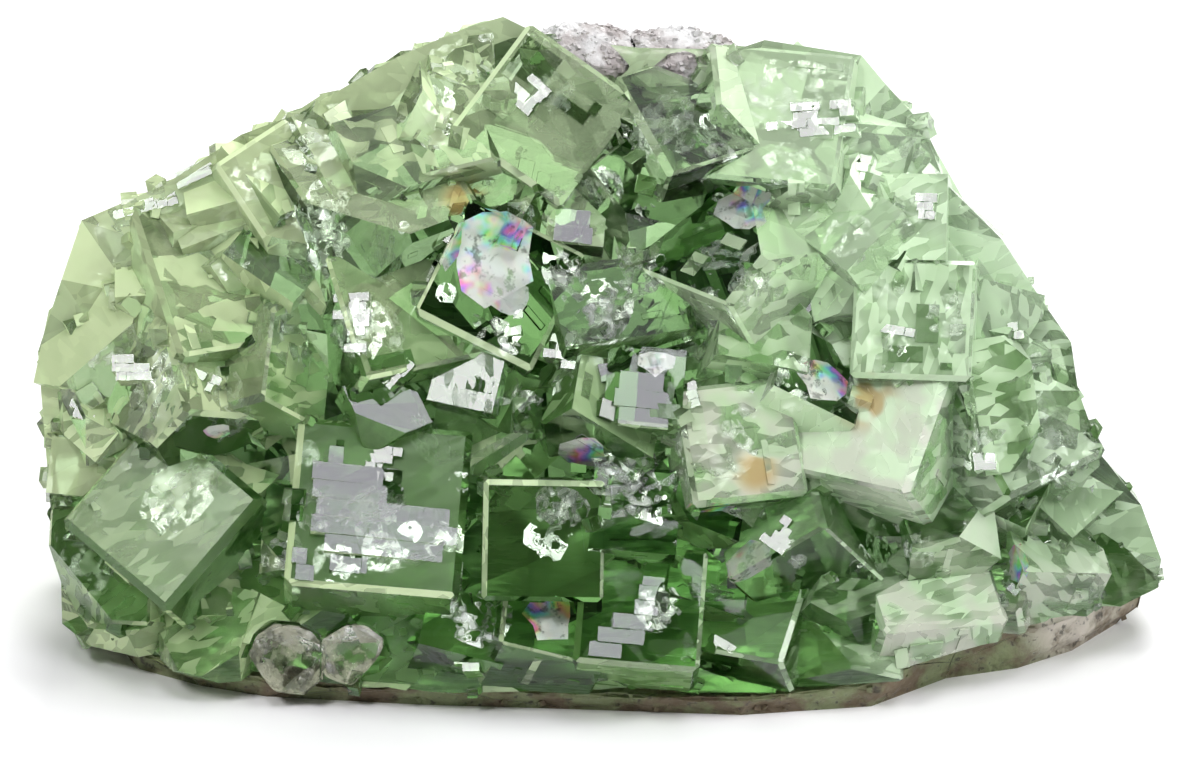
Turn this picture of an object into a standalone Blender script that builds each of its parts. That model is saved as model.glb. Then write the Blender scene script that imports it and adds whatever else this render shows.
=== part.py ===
"""A hand specimen of green fluorite: cubes grown through one another in a mound, on remains of host rock.

Units are metres and +Z is up. The origin is the middle of the flat foot that the specimen rests on.
The display side faces -Y and is looked at from a little above, so its crystals are placed as they
are seen from there: so far across, so far up the line of sight's own upright, and so deep in the mound.
"""

import math
import random

import bmesh
import bpy
from mathutils import Matrix, Vector, noise

MM = 0.001

# Driving sizes of the whole specimen.
LOOK_DOWN = math.radians(25)  # the display side is looked at from this far above the horizon
HALF_WIDTH = 62 * MM  # where the display side has curved back to the middle plane
FOOT_DEPTH = -24 * MM  # the front of the foot
RIDGE_DEPTH = 5 * MM  # the front of the ridge
FOOT_UP = -10 * MM  # the foot's front, in the upright of the line of sight
RIDGE_UP = 62 * MM  # the ridge, in the same upright
BULGE = 1.4  # over 1 makes the display side bulge between foot and ridge
GAP = 0.3 * MM  # between pieces that touch
GAP_GROWN = 0.4 * MM  # a lump's corners move out by this much, so that its faces move out by the gap
MERGED = 0.004 * MM  # corners nearer than this become one
SHORTEST = 0.002 * MM  # edges shorter than this are dropped
FLAT = math.radians(0.3)  # faces that differ by less become one

# How each cube ends at its edges and corners, and how it stands in the mound.
EDGE_BEVEL = 0.03  # a large cube's edges are cut off by this share of its width
BEVEL_VARIES = (0.5, 1.3)
BEVELLED_FROM = 11.5 * MM  # smaller cubes keep sharp edges
CLEAVED = 0.32  # this share of the corners has broken off along fluorite's octahedral cleavage
KEPT = 0.05  # the same share for the cubes that are nearly whole
CLEAVED_DEEP = (0.12, 0.42)  # how deep a corner has broken off, as a share of the width
SUNK = 0.30  # a cube's middle lies behind the mound's surface by this share of its width
STAND_OUT = 0.6 * MM  # a cube may pass the outline by this much

# The mass under the crystals, and the small cubes that fill the spaces between the large ones.
MASS_WOBBLE = (0.94, 1.06)  # each corner keeps this share of its distance from the middle
MASS_ROUGH = 1.2 * MM  # on the display side
BACK_ROUGH = 1.5 * MM
FILL_SPACING = 8.5 * MM
FILL_SCATTER = 0.4  # of the spacing
FILL_WIDTH = (6 * MM, 9.5 * MM)
FILL_SUNK = 0.52  # a small cube's middle lies this share of its width behind the surface
BACK_WIDTH = (9 * MM, 15 * MM)
MOST_TURN = 45  # degrees: a cube that is turned farther looks as if it were turned less

# The host rock under the crystals.
BOND_HEIGHT = 2.6 * MM  # of the rock's upper side, over most of the foot
BOND_RISE = 4.2 * MM  # more than that at the right end
BOND_ROUGH = 1.1 * MM
BOND_BUMPS = ((90, 1.0), (230, 0.5))  # bumps to the metre, and their share of the roughness
BOND_SLOPE = (22 * MM, 46 * MM)  # it rises between these places along X
BOND_CELLS = (20, 10)  # cells of its uneven surface, along X and Y
BOND_CELL = 8 * MM
BOND_BELOW = -10 * MM  # the block that trims the rock reaches this far down
ROCK_HEIGHT = 12 * MM  # the rock's sides are made this high before the bond trims them
ROCK_RINGS = ((0.955, 0.0), (0.985, 0.16), (1.0, 0.4), (0.97, 1.0))  # shares of its plan and its height
ROCK_WOBBLE = 0.012
ROCK_BACK = (56 * MM, 21 * MM)  # half its length, and how far it reaches behind
ROCK_BACK_POINTS = 9

FLUORITE_SEED = 11
ROCK_SEED = 3
LUMP_SEED = 5
FLUORITE_IOR = 1.434

FLUORITE_GREEN = (0.30, 0.52, 0.27, 1.0)
ROCK_BROWN = (0.36, 0.32, 0.24, 1.0)
ROCK_PINK = (0.62, 0.54, 0.50, 1.0)
QUARTZ_GREY = (0.60, 0.58, 0.48, 1.0)

# The outline of the mass as it is seen, in millimetres across and up, from the left end of the foot
# round over the ridge and back along the foot.
OUTLINE = (
    (-56.5, -0.5), (-56.5, 5.0), (-57.5, 12.0), (-58.0, 20.0), (-58.5, 28.0), (-55.8, 35.5),
    (-53.6, 41.6), (-45.0, 45.2), (-37.0, 50.4), (-31.0, 52.6), (-21.0, 58.4), (-14.0, 61.4),
    (-10.0, 62.6), (-5.5, 60.4), (4.0, 59.4), (14.0, 59.2), (17.0, 60.2), (27.0, 58.6), (29.5, 55.6),
    (33.2, 51.5), (35.5, 45.5), (41.5, 39.6), (45.5, 33.6), (48.8, 29.0), (49.6, 24.0),
    (52.2, 17.2), (56.6, 12.0), (59.0, 6.2), (57.8, -0.8), (52.0, -3.6), (46.0, -5.4),
    (37.8, -6.4), (29.4, -9.2), (15.5, -10.2), (-4.0, -9.6), (-19.0, -9.0), (-36.5, -8.3),
    (-44.0, -7.2), (-50.0, -5.4), (-53.5, -2.8),
)
OUTLINE_MIDDLE = Vector((0.0, 24.0))
FOOT_POINTS = 9  # the last points of the outline lie along the foot
# Rings of the mass on the display side: share of the outline, and how far behind the mound's surface.
FRONT_RINGS = ((0.30, 1.5), (0.58, 1.2), (0.84, 0.8))
# Rings behind it: shares of the outline's width, height and lean, and how far back.
BACK_RINGS = ((0.98, 0.93, 0.5, 4.0), (0.93, 0.84, 0.2, 12.0), (0.80, 0.66, 0.0, 18.5), (0.5, 0.38, 0.0, 22.5))

# The crystals that give the display side its look, group by group. Each line is one crystal:
# across, up and sink in millimetres, its width or its three sizes, then yaw, pitch and roll in degrees.
# Sink is how much deeper than usual, or less deep, the crystal lies.
LEFT_SHOULDER = (
    (-54.0, 28.5, 0, 11.0, -32, 12, 6),
    (-42.0, 24.0, -1, 15.0, 38, 30, 4),
    (-34.5, 25.5, 0, 13.5, 50, 12, 22),
    (-54.0, 10.0, 0, 8.0, 40, 10, 24),
    (-54.5, 15.5, -1, 6.0, 4, 10, 6),
    (-54.5, 20.5, 0, 8.5, 28, 24, -14),
    (-49.0, -1.0, 0, 7.0, 24, 30, 40),
    (-39.5, -2.0, 0, 10.0, -22, 16, 12),
    (-33.5, 36.5, 1, 9.0, 12, 28, 40),
)
LEFT_SLOPE = (
    (-36.5, 46.5, 1, 10.0, 26, 36, -26),
    (-28.0, 48.5, 1, 12.0, 14, 30, -20),
    (-12.5, 57.5, 2, 10.0, 12, 40, 32),
    (-22.5, 46.5, -1, 9.5, 16, 30, -18),
    (-46.0, 42.0, 2, 8.0, 4, 52, -28),
    (-40.5, 44.5, 1, 7.5, -18, 40, -20),
)
RIDGE = (
    (9.5, 51.5, 0, 13.0, 12, 32, -20),
    (6.5, 55.0, 2, 11.0, 40, 24, -32),
    (30.5, 53.0, 2, 7.5, 32, 18, 12),
    (31.5, 49.5, 1, 7.5, -14, 24, 22),
    (3.0, 43.5, 0, 10.0, 30, 22, 58),
    (-8.5, 42.5, 0, 9.0, -30, 26, 16),
    (20.5, 46.5, 1, 9.5, 40, 22, 12),
)
MIDDLE = (
    (-22.5, 21.5, -2, 7.0, 12, 18, -22),
    (-13.0, 25.0, -1, 7.0, -10, 12, 12),
    (-1.5, 22.0, -1, 11.0, 44, 22, 30),
    (14.5, 36.0, -1, 14.0, -26, 36, 22),
    (15.5, 29.5, 0, 10.0, 20, 22, 12),
    (-6.8, 22.0, -2, 4.4, 6, 6, 0),
    (21.0, 23.5, 0, 9.5, 30, 32, 30),
    (9.5, 12.0, 0, 8.0, 32, 20, 22),
)
RIGHT_SLOPE = (
    (29.0, 45.0, 1, 10.0, 22, 12, 16),
    (27.5, 39.0, -1, 8.5, -30, 32, 32),
    (41.5, 31.5, 0, 8.0, 16, -4, 14),
    (44.5, 29.0, 1, 8.0, 22, 12, -12),
    (40.0, 22.5, -2, (7.0, 9.0, 14.0), 24, 2, -8),
    (44.5, 18.5, 0, 15.0, 32, 22, -20),
    (47.5, 23.5, 2, 8.5, 28, 22, -26),
    (51.5, 11.5, 1, 10.0, 20, 30, -38),
    (54.5, 4.5, 1, 9.5, 42, 6, 8),
    (29.5, 18.5, -1, 15.0, -20, 24, 12),
    (35.5, 9.5, 0, 10.0, 4, 40, -12),
    (46.0, 5.5, 0, 10.0, 22, 42, 2),
)
FOOT = (
    (9.5, 4.0, 1, 9.0, 28, 24, 20),
    (20.5, 8.5, 0, 12.0, -40, 30, -34),
    (26.0, 2.0, 0, 10.0, 22, 22, 30),
    (-14.5, -1.2, 0, 9.0, 14, 26, 16),
    (-6.0, -1.5, 0, 11.5, 20, 32, 16),
    (-29.5, 0.5, 1, 11.0, -18, 20, 8),
    (16.0, -1.0, 1, 12.0, -14, 30, 10),
    (33.0, 1.0, 1, 14.0, 12, 38, -6),
    (43.5, 0.5, 1, 12.0, -10, 40, 8),
    (51.0, 1.0, 1, 9.0, 16, 34, -10),
    (24.0, -2.5, 1, 12.0, 24, 30, 14),
)
# Large cubes that have kept nearly all their corners.
WHOLE = (
    (-44.5, 35.0, 2, 19.0, 20, 26, -10),
    (-43.5, 9.5, -1, 15.5, -14, 16, 38),
    (-51.5, 5.0, -1, 12.0, -20, 4, 2),
    (-18.5, 53.0, 1, 14.0, -14, 20, -14),
    (-24.0, 41.0, 0, 17.0, 10, 36, -24),
    (-6.0, 51.5, 0, 14.0, 2, 12, 36),
    (21.0, 54.5, 0, 14.5, -12, 16, 6),
    (-21.5, 30.5, -1, 14.0, 16, 20, -12),
    (-11.0, 34.0, -1, 13.5, 8, 8, 27),
    (1.5, 31.5, -1, (14.0, 9.0, 9.0), 10, 26, -9),
    (33.0, 30.5, -1, 12.5, -8, 8, 2),
    (32.0, 41.5, 0, 9.0, -6, 8, 1),
    (37.5, 38.5, 1, 9.5, 36, 16, 10),
    (-6.0, 9.0, -1, 12.5, 2, -4, 1),
    (13.0, 17.5, -1, 12.5, 16, 12, -6),
)
# Cubes grown parallel to one another: their faces catch the same light, as broad grey mirrors.
PARALLEL_TURN = (2, 17, 5)
PARALLEL = (
    (-23.0, 9.5, -2, 18.0),
    (-21.5, 16.5, 0, 8.0),
    (4.5, 23.5, -2, 8.0),
    (4.0, 0.0, -1, 13.0),
    (3.5, 10.5, -1, 9.0),
    (-2.5, 41.0, 0, 6.0),
    (-30.5, 8.5, 1, 9.0),
)

# Cubes round the back stand in the mass by this share of their width, set towards its middle.
BACK_SUNK = 0.3
MASS_MIDDLE = Vector((0, -4 * MM, 20 * MM))
# Cubes in the middle of the back, as x, z and width. Higher ones stand a little less far back.
BACK_MIDDLE_SUNK = 0.25
BACK_SLOPE = 0.03
BACK_MIDDLE = (
    (-13.0, 12.0, 13.0), (1.0, 9.0, 11.0), (13.5, 13.0, 14.0), (-4.0, 21.0, 12.5), (9.0, 24.0, 10.5),
    (-15.0, 27.0, 11.0), (24.0, 25.0, 12.0), (25.0, 9.0, 11.0), (-26.0, 8.0, 12.0), (2.0, 33.0, 11.0),
)

# Lumps of host rock on the ridge and down the back, and the two quartz crystals: middle and radii.
RIDGE_ROCK_POINTS = 44
QUARTZ_POINTS = 36
LUMP_SCATTER = 0.3
LUMP_REACH = (0.86, 1.0)
RIDGE_ROCK = (
    ((-1.5, 6.6, 61.2), (7.0, 5.0, 4.4)),
    ((8.0, 7.0, 60.7), (7.5, 5.0, 4.3)),
    ((3.5, 12.0, 57.0), (10.5, 5.5, 5.5)),
    ((0.5, 16.0, 50.0), (8.5, 4.5, 8.0)),
)
QUARTZ = (
    ((-32.4, -20.8, 5.4), (4.7, 4.2, 4.2)),
    ((-25.7, -22.2, 6.6), (4.1, 3.8, 3.7)),
)


def clear_scene():
    """Removes whatever the file held."""
    for thing in list(bpy.data.objects):
        bpy.data.objects.remove(thing)


def material(name, colour, roughness, clear=0.0):
    """A Principled BSDF with the mineral's colour and shine; clear is its share of see-through."""
    made = bpy.data.materials.new(name)
    made.use_nodes = True
    shader = made.node_tree.nodes["Principled BSDF"]
    shader.inputs["Base Color"].default_value = colour
    shader.inputs["Roughness"].default_value = roughness
    shader.inputs["Transmission Weight"].default_value = clear
    shader.inputs["IOR"].default_value = FLUORITE_IOR
    return made


# The mound as it is seen.


def front_depth(across, up):
    """How deep the mound's display side lies at a place given as it is seen."""
    rise = min(1.0, max(0.0, (up - FOOT_UP) / (RIDGE_UP - FOOT_UP)))
    depth = FOOT_DEPTH + (RIDGE_DEPTH - FOOT_DEPTH) * rise**BULGE
    return depth * math.sqrt(max(0.0, 1 - (across / HALF_WIDTH) ** 2))


def seen(across, up, depth):
    """The point that is seen so far across and up, at a depth along Y."""
    return Vector((across, depth, (up - depth * math.sin(LOOK_DOWN)) / math.cos(LOOK_DOWN)))


def as_seen(point):
    """Where a point, kept above the ground, is seen: across and up."""
    return Vector((point.x, max(0.0, point.z) * math.cos(LOOK_DOWN) + point.y * math.sin(LOOK_DOWN)))


def facing(yaw, pitch, roll):
    """Turns a cube that faces the viewer: its top leans away by pitch, its face swings by yaw."""
    swing = Matrix.Rotation(math.radians(yaw), 3, "Z")
    lean = Matrix.Rotation(math.radians(-pitch), 3, "X")
    spin = Matrix.Rotation(math.radians(roll), 3, "Y")
    return Matrix.Rotation(-LOOK_DOWN, 3, "X") @ swing @ lean @ spin


def ring_point(rim, ring):
    """The point of a ring behind the outline that follows from a point of the outline."""
    wide, high, lean, back = ring
    return Vector((rim.x * wide, rim.y * lean + back * MM, rim.z * high))


def outline_reach(heading):
    """How far the outline lies from its middle along a heading in the view."""
    farthest = 0.0
    for start, end in zip(OUTLINE, OUTLINE[1:] + OUTLINE[:1]):
        start = (Vector(start) - OUTLINE_MIDDLE) * MM
        side = (Vector(end) - OUTLINE_MIDDLE) * MM - start
        cross = heading.x * side.y - heading.y * side.x
        if abs(cross) < 1e-12:
            continue
        along = (start.x * side.y - start.y * side.x) / cross
        share = (start.x * heading.y - start.y * heading.x) / cross
        if along > 0 and 0 <= share <= 1:
            farthest = max(farthest, along)
    return farthest


def drawn_in(place, corners):
    """Moves a crystal towards the middle of the view until no corner stands far past the outline."""
    view_up = Vector((0.0, math.sin(LOOK_DOWN), math.cos(LOOK_DOWN)))
    for _ in range(5):
        worst = STAND_OUT
        for corner in corners:
            offset = as_seen(place + corner) - OUTLINE_MIDDLE * MM
            over = offset.length - outline_reach(offset.normalized())
            if over > worst:
                worst = over
                outward = offset.normalized()
        if worst <= STAND_OUT:
            break
        push = worst - STAND_OUT
        place = place - (Vector((outward.x, 0, 0)) + view_up * outward.y) * push
    return place


# Single shapes.


def cut_off(shape, distance, direction):
    """Cuts away what lies past a plane and closes the cut."""
    out = Vector(direction).normalized()
    geometry = shape.verts[:] + shape.edges[:] + shape.faces[:]
    cut = bmesh.ops.bisect_plane(
        shape, geom=geometry, dist=1e-7, plane_co=out * distance, plane_no=out, clear_outer=True
    )
    rim = [item for item in cut["geom_cut"] if isinstance(item, bmesh.types.BMEdge)]
    if rim:
        bmesh.ops.edgeloop_fill(shape, edges=rim)


def cube_crystal(size, luck, cleaved=CLEAVED):
    """One cube, or a block of three sizes, with narrow bevels and some corners cleaved off."""
    shape = bmesh.new()
    half = [0.5 * side for side in size]
    narrow = min(size)
    bmesh.ops.create_cube(shape, size=1.0)
    bmesh.ops.scale(shape, verts=shape.verts, vec=size)
    if narrow >= BEVELLED_FROM:
        for first, second in ((0, 1), (1, 2), (0, 2)):
            for sign_first in (-1, 1):
                for sign_second in (-1, 1):
                    out = [0.0, 0.0, 0.0]
                    out[first] = sign_first
                    out[second] = sign_second
                    reach = (half[first] + half[second]) / math.sqrt(2)
                    cut_off(shape, reach - EDGE_BEVEL * narrow * luck.uniform(*BEVEL_VARIES), out)
    for corner in range(8):
        out = [1 if corner & bit else -1 for bit in (1, 2, 4)]
        if luck.random() < cleaved:
            reach = sum(half) / math.sqrt(3)
            cut_off(shape, reach - narrow * luck.uniform(*CLEAVED_DEEP), out)
    return shape


def lump_shape(radii, points, luck, grown=0.0):
    """A broken lump: the hull of points scattered over an ellipsoid."""
    shape = bmesh.new()
    golden = math.pi * (3 - math.sqrt(5))
    for i in range(points):
        height = 1 - 2 * (i + 0.5) / points
        ring = math.sqrt(1 - height * height)
        angle = golden * i + luck.uniform(-LUMP_SCATTER, LUMP_SCATTER)
        reach = luck.uniform(*LUMP_REACH)
        direction = (ring * math.cos(angle), ring * math.sin(angle), height)
        shape.verts.new([(r * reach + grown) * d for r, d in zip(radii, direction)])
    hull = bmesh.ops.convex_hull(shape, input=shape.verts)
    inside = [item for item in hull["geom_interior"] if isinstance(item, bmesh.types.BMVert)]
    bmesh.ops.delete(shape, geom=inside, context="VERTS")
    bmesh.ops.recalc_face_normals(shape, faces=shape.faces)
    return shape


def close_rings(shape, rings, luck):
    """Joins rings of equal length with triangles and closes the first and the last."""
    count = len(rings[0])
    for inner, outer in zip(rings, rings[1:]):
        for i in range(count):
            j = (i + 1) % count
            if luck.random() < 0.5:
                shape.faces.new((inner[i], inner[j], outer[j]))
                shape.faces.new((inner[i], outer[j], outer[i]))
            else:
                shape.faces.new((inner[i], inner[j], outer[i]))
                shape.faces.new((inner[j], outer[j], outer[i]))
    for ring in (rings[0], rings[-1]):
        hub = shape.verts.new(sum((corner.co for corner in ring), Vector()) / count)
        for i in range(count):
            shape.faces.new((hub, ring[i], ring[(i + 1) % count]))
    bmesh.ops.recalc_face_normals(shape, faces=shape.faces)


def mass_shape(luck):
    """The broken mass that the crystals stand in: rings of the outline, closed before and behind."""
    shape = bmesh.new()
    rings = []
    for share, behind in FRONT_RINGS:
        ring = []
        for corner in OUTLINE:
            wobble = share * luck.uniform(*MASS_WOBBLE)
            place = (OUTLINE_MIDDLE + (Vector(corner) - OUTLINE_MIDDLE) * wobble) * MM
            depth = front_depth(*place) + luck.uniform(-MASS_ROUGH, MASS_ROUGH) + behind * MM
            ring.append(shape.verts.new(seen(place.x, place.y, depth)))
        rings.append(ring)
    rim = [seen(x * MM, up * MM, front_depth(x * MM, up * MM)) for x, up in OUTLINE]
    rings.append([shape.verts.new(point) for point in rim])
    for back_ring in BACK_RINGS:
        ring = []
        for point in rim:
            jitter = Vector([luck.uniform(-BACK_ROUGH, BACK_ROUGH) for _ in range(3)])
            ring.append(shape.verts.new(ring_point(point, back_ring) + jitter))
        rings.append(ring)
    close_rings(shape, rings, luck)
    return shape


def bond_height(x, y):
    """The height of the rock's upper side, which the crystals are bonded to."""
    start, end = BOND_SLOPE
    right = min(1.0, max(0.0, (x - start) / (end - start)))
    place = Vector((x, y, 0.0))
    rough = sum(share * noise.noise(place * often) for often, share in BOND_BUMPS)
    return BOND_HEIGHT + BOND_RISE * right * right * (3 - 2 * right) + BOND_ROUGH * rough


def bond_block(lift):
    """Everything under the bond, lifted by a little: a block with an uneven upper side."""
    shape = bmesh.new()
    rows = []
    for j in range(BOND_CELLS[1] + 1):
        row = []
        for i in range(BOND_CELLS[0] + 1):
            x = (i - BOND_CELLS[0] / 2) * BOND_CELL
            y = (j - BOND_CELLS[1] / 2) * BOND_CELL
            row.append(shape.verts.new((x, y, bond_height(x, y) + lift)))
        rows.append(row)
    for near, far in zip(rows, rows[1:]):
        for i in range(BOND_CELLS[0]):
            shape.faces.new((near[i], near[i + 1], far[i + 1]))
            shape.faces.new((near[i], far[i + 1], far[i]))
    border = [edge for edge in shape.edges if edge.is_boundary]
    skirt = bmesh.ops.extrude_edge_only(shape, edges=border)["geom"]
    for item in skirt:
        if isinstance(item, bmesh.types.BMVert):
            item.co.z = BOND_BELOW
    bottom = [item for item in skirt if isinstance(item, bmesh.types.BMEdge) and item.is_boundary]
    bmesh.ops.edgeloop_fill(shape, edges=bottom)
    bmesh.ops.recalc_face_normals(shape, faces=shape.faces)
    return shape


def foot_shape(luck):
    """The rock under the crystals: its plan follows the outline in front and an arc behind."""
    front = [corner for corner in OUTLINE[1:] + OUTLINE[:1] if corner[1] < 0]
    plan = [Vector((across, up / math.sin(LOOK_DOWN))) * MM for across, up in front]
    for i in range(ROCK_BACK_POINTS):
        angle = math.pi * (i + 1) / (ROCK_BACK_POINTS + 1)
        plan.append(Vector((-ROCK_BACK[0] * math.cos(angle), ROCK_BACK[1] * math.sin(angle))))
    shape = bmesh.new()
    rings = []
    for share, height in ROCK_RINGS:
        ring = []
        for point in plan:
            wobble = share + luck.uniform(-ROCK_WOBBLE, ROCK_WOBBLE)
            ring.append(shape.verts.new((point.x * wobble, point.y * wobble, height * ROCK_HEIGHT)))
        rings.append(ring)
    close_rings(shape, rings, luck)
    return shape


# Putting the shapes together.


def put(name, shape, place, turn, collection):
    """Puts a shape into the scene as an object of one collection."""
    mesh = bpy.data.meshes.new(name)
    shape.to_mesh(mesh)
    shape.free()
    thing = bpy.data.objects.new(name, mesh)
    thing.matrix_world = Matrix.Translation(place) @ turn.to_4x4()
    collection.objects.link(thing)
    return thing


def cutter(name, shape, collection):
    """A shape that only cuts or joins: not shown by itself."""
    thing = put(name, shape, Vector(), Matrix.Identity(3), collection)
    thing.hide_render = True
    thing.display_type = "WIRE"
    return thing


def display_crystals(placed, cleaved):
    """Crystals placed by hand on the display side: shape, place and turn of each."""
    crystals = []
    for across, up, sink, width, yaw, pitch, roll in placed:
        size = [side * MM for side in (width if isinstance(width, tuple) else (width,) * 3)]
        depth = front_depth(across * MM, up * MM) + sink * MM + SUNK * min(size)
        shape = cube_crystal(size, random.Random(across * up), cleaved)
        crystals.append((shape, seen(across * MM, up * MM, depth), facing(yaw, pitch, roll)))
    return crystals


def fill_crystals(luck):
    """Small cubes over the whole display side, which show between the large ones."""
    crystals = []
    columns = round(2 * HALF_WIDTH / FILL_SPACING)
    rows = round((RIDGE_UP - FOOT_UP) / FILL_SPACING)
    for column in range(columns + 1):
        for row in range(rows + 1):
            across = -HALF_WIDTH + (column + luck.uniform(-FILL_SCATTER, FILL_SCATTER)) * FILL_SPACING
            up = FOOT_UP + (row + luck.uniform(-FILL_SCATTER, FILL_SCATTER)) * FILL_SPACING
            width = luck.uniform(*FILL_WIDTH)
            yaw = luck.uniform(-MOST_TURN, MOST_TURN)
            pitch = luck.uniform(0, MOST_TURN)
            turn = facing(yaw, pitch, luck.uniform(-MOST_TURN, MOST_TURN))
            shape = cube_crystal([width] * 3, luck)
            offset = Vector((across, up)) - OUTLINE_MIDDLE * MM
            if offset.length > outline_reach(offset.normalized()):
                shape.free()
                continue
            place = seen(across, up, front_depth(across, up) + FILL_SUNK * width)
            crystals.append((shape, place, turn))
    return crystals


def any_turn(luck):
    """A turn that leaves a cube facing no side in particular."""
    turns = [math.radians(luck.uniform(-MOST_TURN, MOST_TURN)) for _ in range(3)]
    turn = Matrix.Rotation(turns[0], 3, "Z") @ Matrix.Rotation(turns[1], 3, "X")
    return turn @ Matrix.Rotation(turns[2], 3, "Y")


def back_crystals(luck):
    """Broken cubes over the top, the ends and the back of the mass."""
    crystals = []
    for x, z, width in BACK_MIDDLE:
        back = BACK_RINGS[-1][-1] - BACK_MIDDLE_SUNK * width - BACK_SLOPE * z
        place = Vector((x, back, z)) * MM
        crystals.append((cube_crystal([width * MM] * 3, luck), place, any_turn(luck)))
    for number, ring in enumerate(BACK_RINGS):
        step = 2 + (number > 0)
        for across, up in OUTLINE[number % 2:-FOOT_POINTS:step]:
            rim = seen(across * MM, up * MM, front_depth(across * MM, up * MM))
            width = luck.uniform(*BACK_WIDTH)
            place = ring_point(rim, ring)
            place = place + (MASS_MIDDLE - place).normalized() * BACK_SUNK * width
            crystals.append((cube_crystal([width] * 3, luck), place, any_turn(luck)))
    return crystals


def boolean(thing, operation, others):
    """Joins objects to one, or cuts it with them, and takes the others away."""
    change = thing.modifiers.new(operation.lower(), "BOOLEAN")
    change.operation = operation
    change.solver = "EXACT"
    if len(others) == 1:
        change.object = others[0]
    else:
        change.operand_type = "COLLECTION"
        change.collection = others[0].users_collection[0]
        change.use_self = operation == "UNION"
    depsgraph = bpy.context.evaluated_depsgraph_get()
    made = bpy.data.meshes.new_from_object(thing.evaluated_get(depsgraph))
    thing.modifiers.clear()
    thing.data = made
    for other in others:
        bpy.data.objects.remove(other)


def tidy_solid(thing):
    """Keeps the one outer body of a joined solid, merges its flat faces and drops tiny edges."""
    shape = bmesh.new()
    shape.from_mesh(thing.data)
    bmesh.ops.remove_doubles(shape, verts=shape.verts, dist=MERGED)
    bmesh.ops.dissolve_degenerate(shape, edges=shape.edges, dist=SHORTEST)
    bmesh.ops.dissolve_limit(shape, verts=shape.verts, edges=shape.edges, angle_limit=FLAT)
    unseen = set(shape.verts)
    bodies = []
    while unseen:
        body = {unseen.pop()}
        edge_of = list(body)
        while edge_of:
            corner = edge_of.pop()
            for edge in corner.link_edges:
                other = edge.other_vert(corner)
                if other in unseen:
                    unseen.discard(other)
                    body.add(other)
                    edge_of.append(other)
        bodies.append(body)
    bodies.sort(key=lambda body: max(v.co.x for v in body) - min(v.co.x for v in body))
    for body in bodies[:-1]:
        bmesh.ops.delete(shape, geom=list(body), context="VERTS")
    bmesh.ops.triangulate(shape, faces=shape.faces)
    shape.to_mesh(thing.data)
    shape.free()


def joined(name, shapes, look):
    """One solid from overlapping shapes, each given with its place and turn."""
    first = put(name, *shapes[0], bpy.context.scene.collection)
    if len(shapes) > 1:
        group = bpy.data.collections.new(name + "_parts")
        bpy.context.scene.collection.children.link(group)
        others = [put(f"{name}_{i}", *shape, group) for i, shape in enumerate(shapes[1:])]
        boolean(first, "UNION", others)
        bpy.data.collections.remove(group)
    if look:
        first.data.materials.append(look)
    return first


def lumps_together(lumps, points, grown=0.0):
    """Lumps grown into one another, given with their places; grown makes a pocket for them."""
    luck = random.Random(LUMP_SEED)
    shapes = []
    for middle, radii in lumps:
        lump = lump_shape([r * MM for r in radii], points, luck, grown)
        shapes.append((lump, Vector(middle) * MM, Matrix.Identity(3)))
    return shapes


def fluorite_crystals(look):
    """All the cubes, joined to the mass they grew from."""
    luck = random.Random(FLUORITE_SEED)
    shapes = [(mass_shape(luck), Vector(), Matrix.Identity(3))]
    broken = LEFT_SHOULDER + LEFT_SLOPE + RIDGE + MIDDLE + RIGHT_SLOPE + FOOT
    whole = WHOLE + tuple(line + PARALLEL_TURN for line in PARALLEL)
    crystals = display_crystals(broken, CLEAVED) + display_crystals(whole, KEPT)
    for shape, place, turn in crystals + back_crystals(luck) + fill_crystals(luck):
        corners = [turn @ vert.co for vert in shape.verts]
        shapes.append((shape, drawn_in(place, corners), turn))
    return joined("fluorite_crystals", shapes, look)


def matrix_foot(look):
    """The layer of host rock that the crystals are bonded to, flat underneath."""
    foot = joined("matrix_foot", [(foot_shape(random.Random(ROCK_SEED)), Vector(), Matrix.Identity(3))], look)
    boolean(foot, "INTERSECT", [cutter("bond", bond_block(0.0), bpy.context.scene.collection)])
    return foot


def stand_on_middle(things):
    """Moves the meshes together so that the origin is under the middle of the whole specimen."""
    corners = [vert.co for thing in things for vert in thing.data.vertices]
    for axis in (0, 1):
        low = min(corner[axis] for corner in corners)
        high = max(corner[axis] for corner in corners)
        shift = Vector((0, 0, 0))
        shift[axis] = -(low + high) / 2
        for thing in things:
            thing.data.transform(Matrix.Translation(shift))
        corners = [vert.co for thing in things for vert in thing.data.vertices]


def main():
    clear_scene()
    fluorite = fluorite_crystals(material("fluorite", FLUORITE_GREEN, 0.12, clear=0.6))
    foot = matrix_foot(material("foot_rock", ROCK_BROWN, 0.8))
    ridge_look = material("ridge_rock", ROCK_PINK, 0.85)
    ridge = joined("matrix_ridge", lumps_together(RIDGE_ROCK, RIDGE_ROCK_POINTS), ridge_look)
    quartz_look = material("quartz", QUARTZ_GREY, 0.3, clear=0.3)
    quartz = joined("quartz_crystals", lumps_together(QUARTZ, QUARTZ_POINTS), quartz_look)

    bond = cutter("bond_pocket", bond_block(GAP), bpy.context.scene.collection)
    boolean(fluorite, "DIFFERENCE", [bond])
    ridge_pocket = joined("ridge_pocket", lumps_together(RIDGE_ROCK, RIDGE_ROCK_POINTS, GAP_GROWN), None)
    boolean(fluorite, "DIFFERENCE", [ridge_pocket])
    for host in (fluorite, foot):
        quartz_pocket = joined("quartz_pocket", lumps_together(QUARTZ, QUARTZ_POINTS, GAP_GROWN), None)
        boolean(host, "DIFFERENCE", [quartz_pocket])

    pieces = (fluorite, foot, ridge, quartz)
    for piece in pieces:
        tidy_solid(piece)
    stand_on_middle(pieces)


main()
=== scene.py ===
import math
import random

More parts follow.
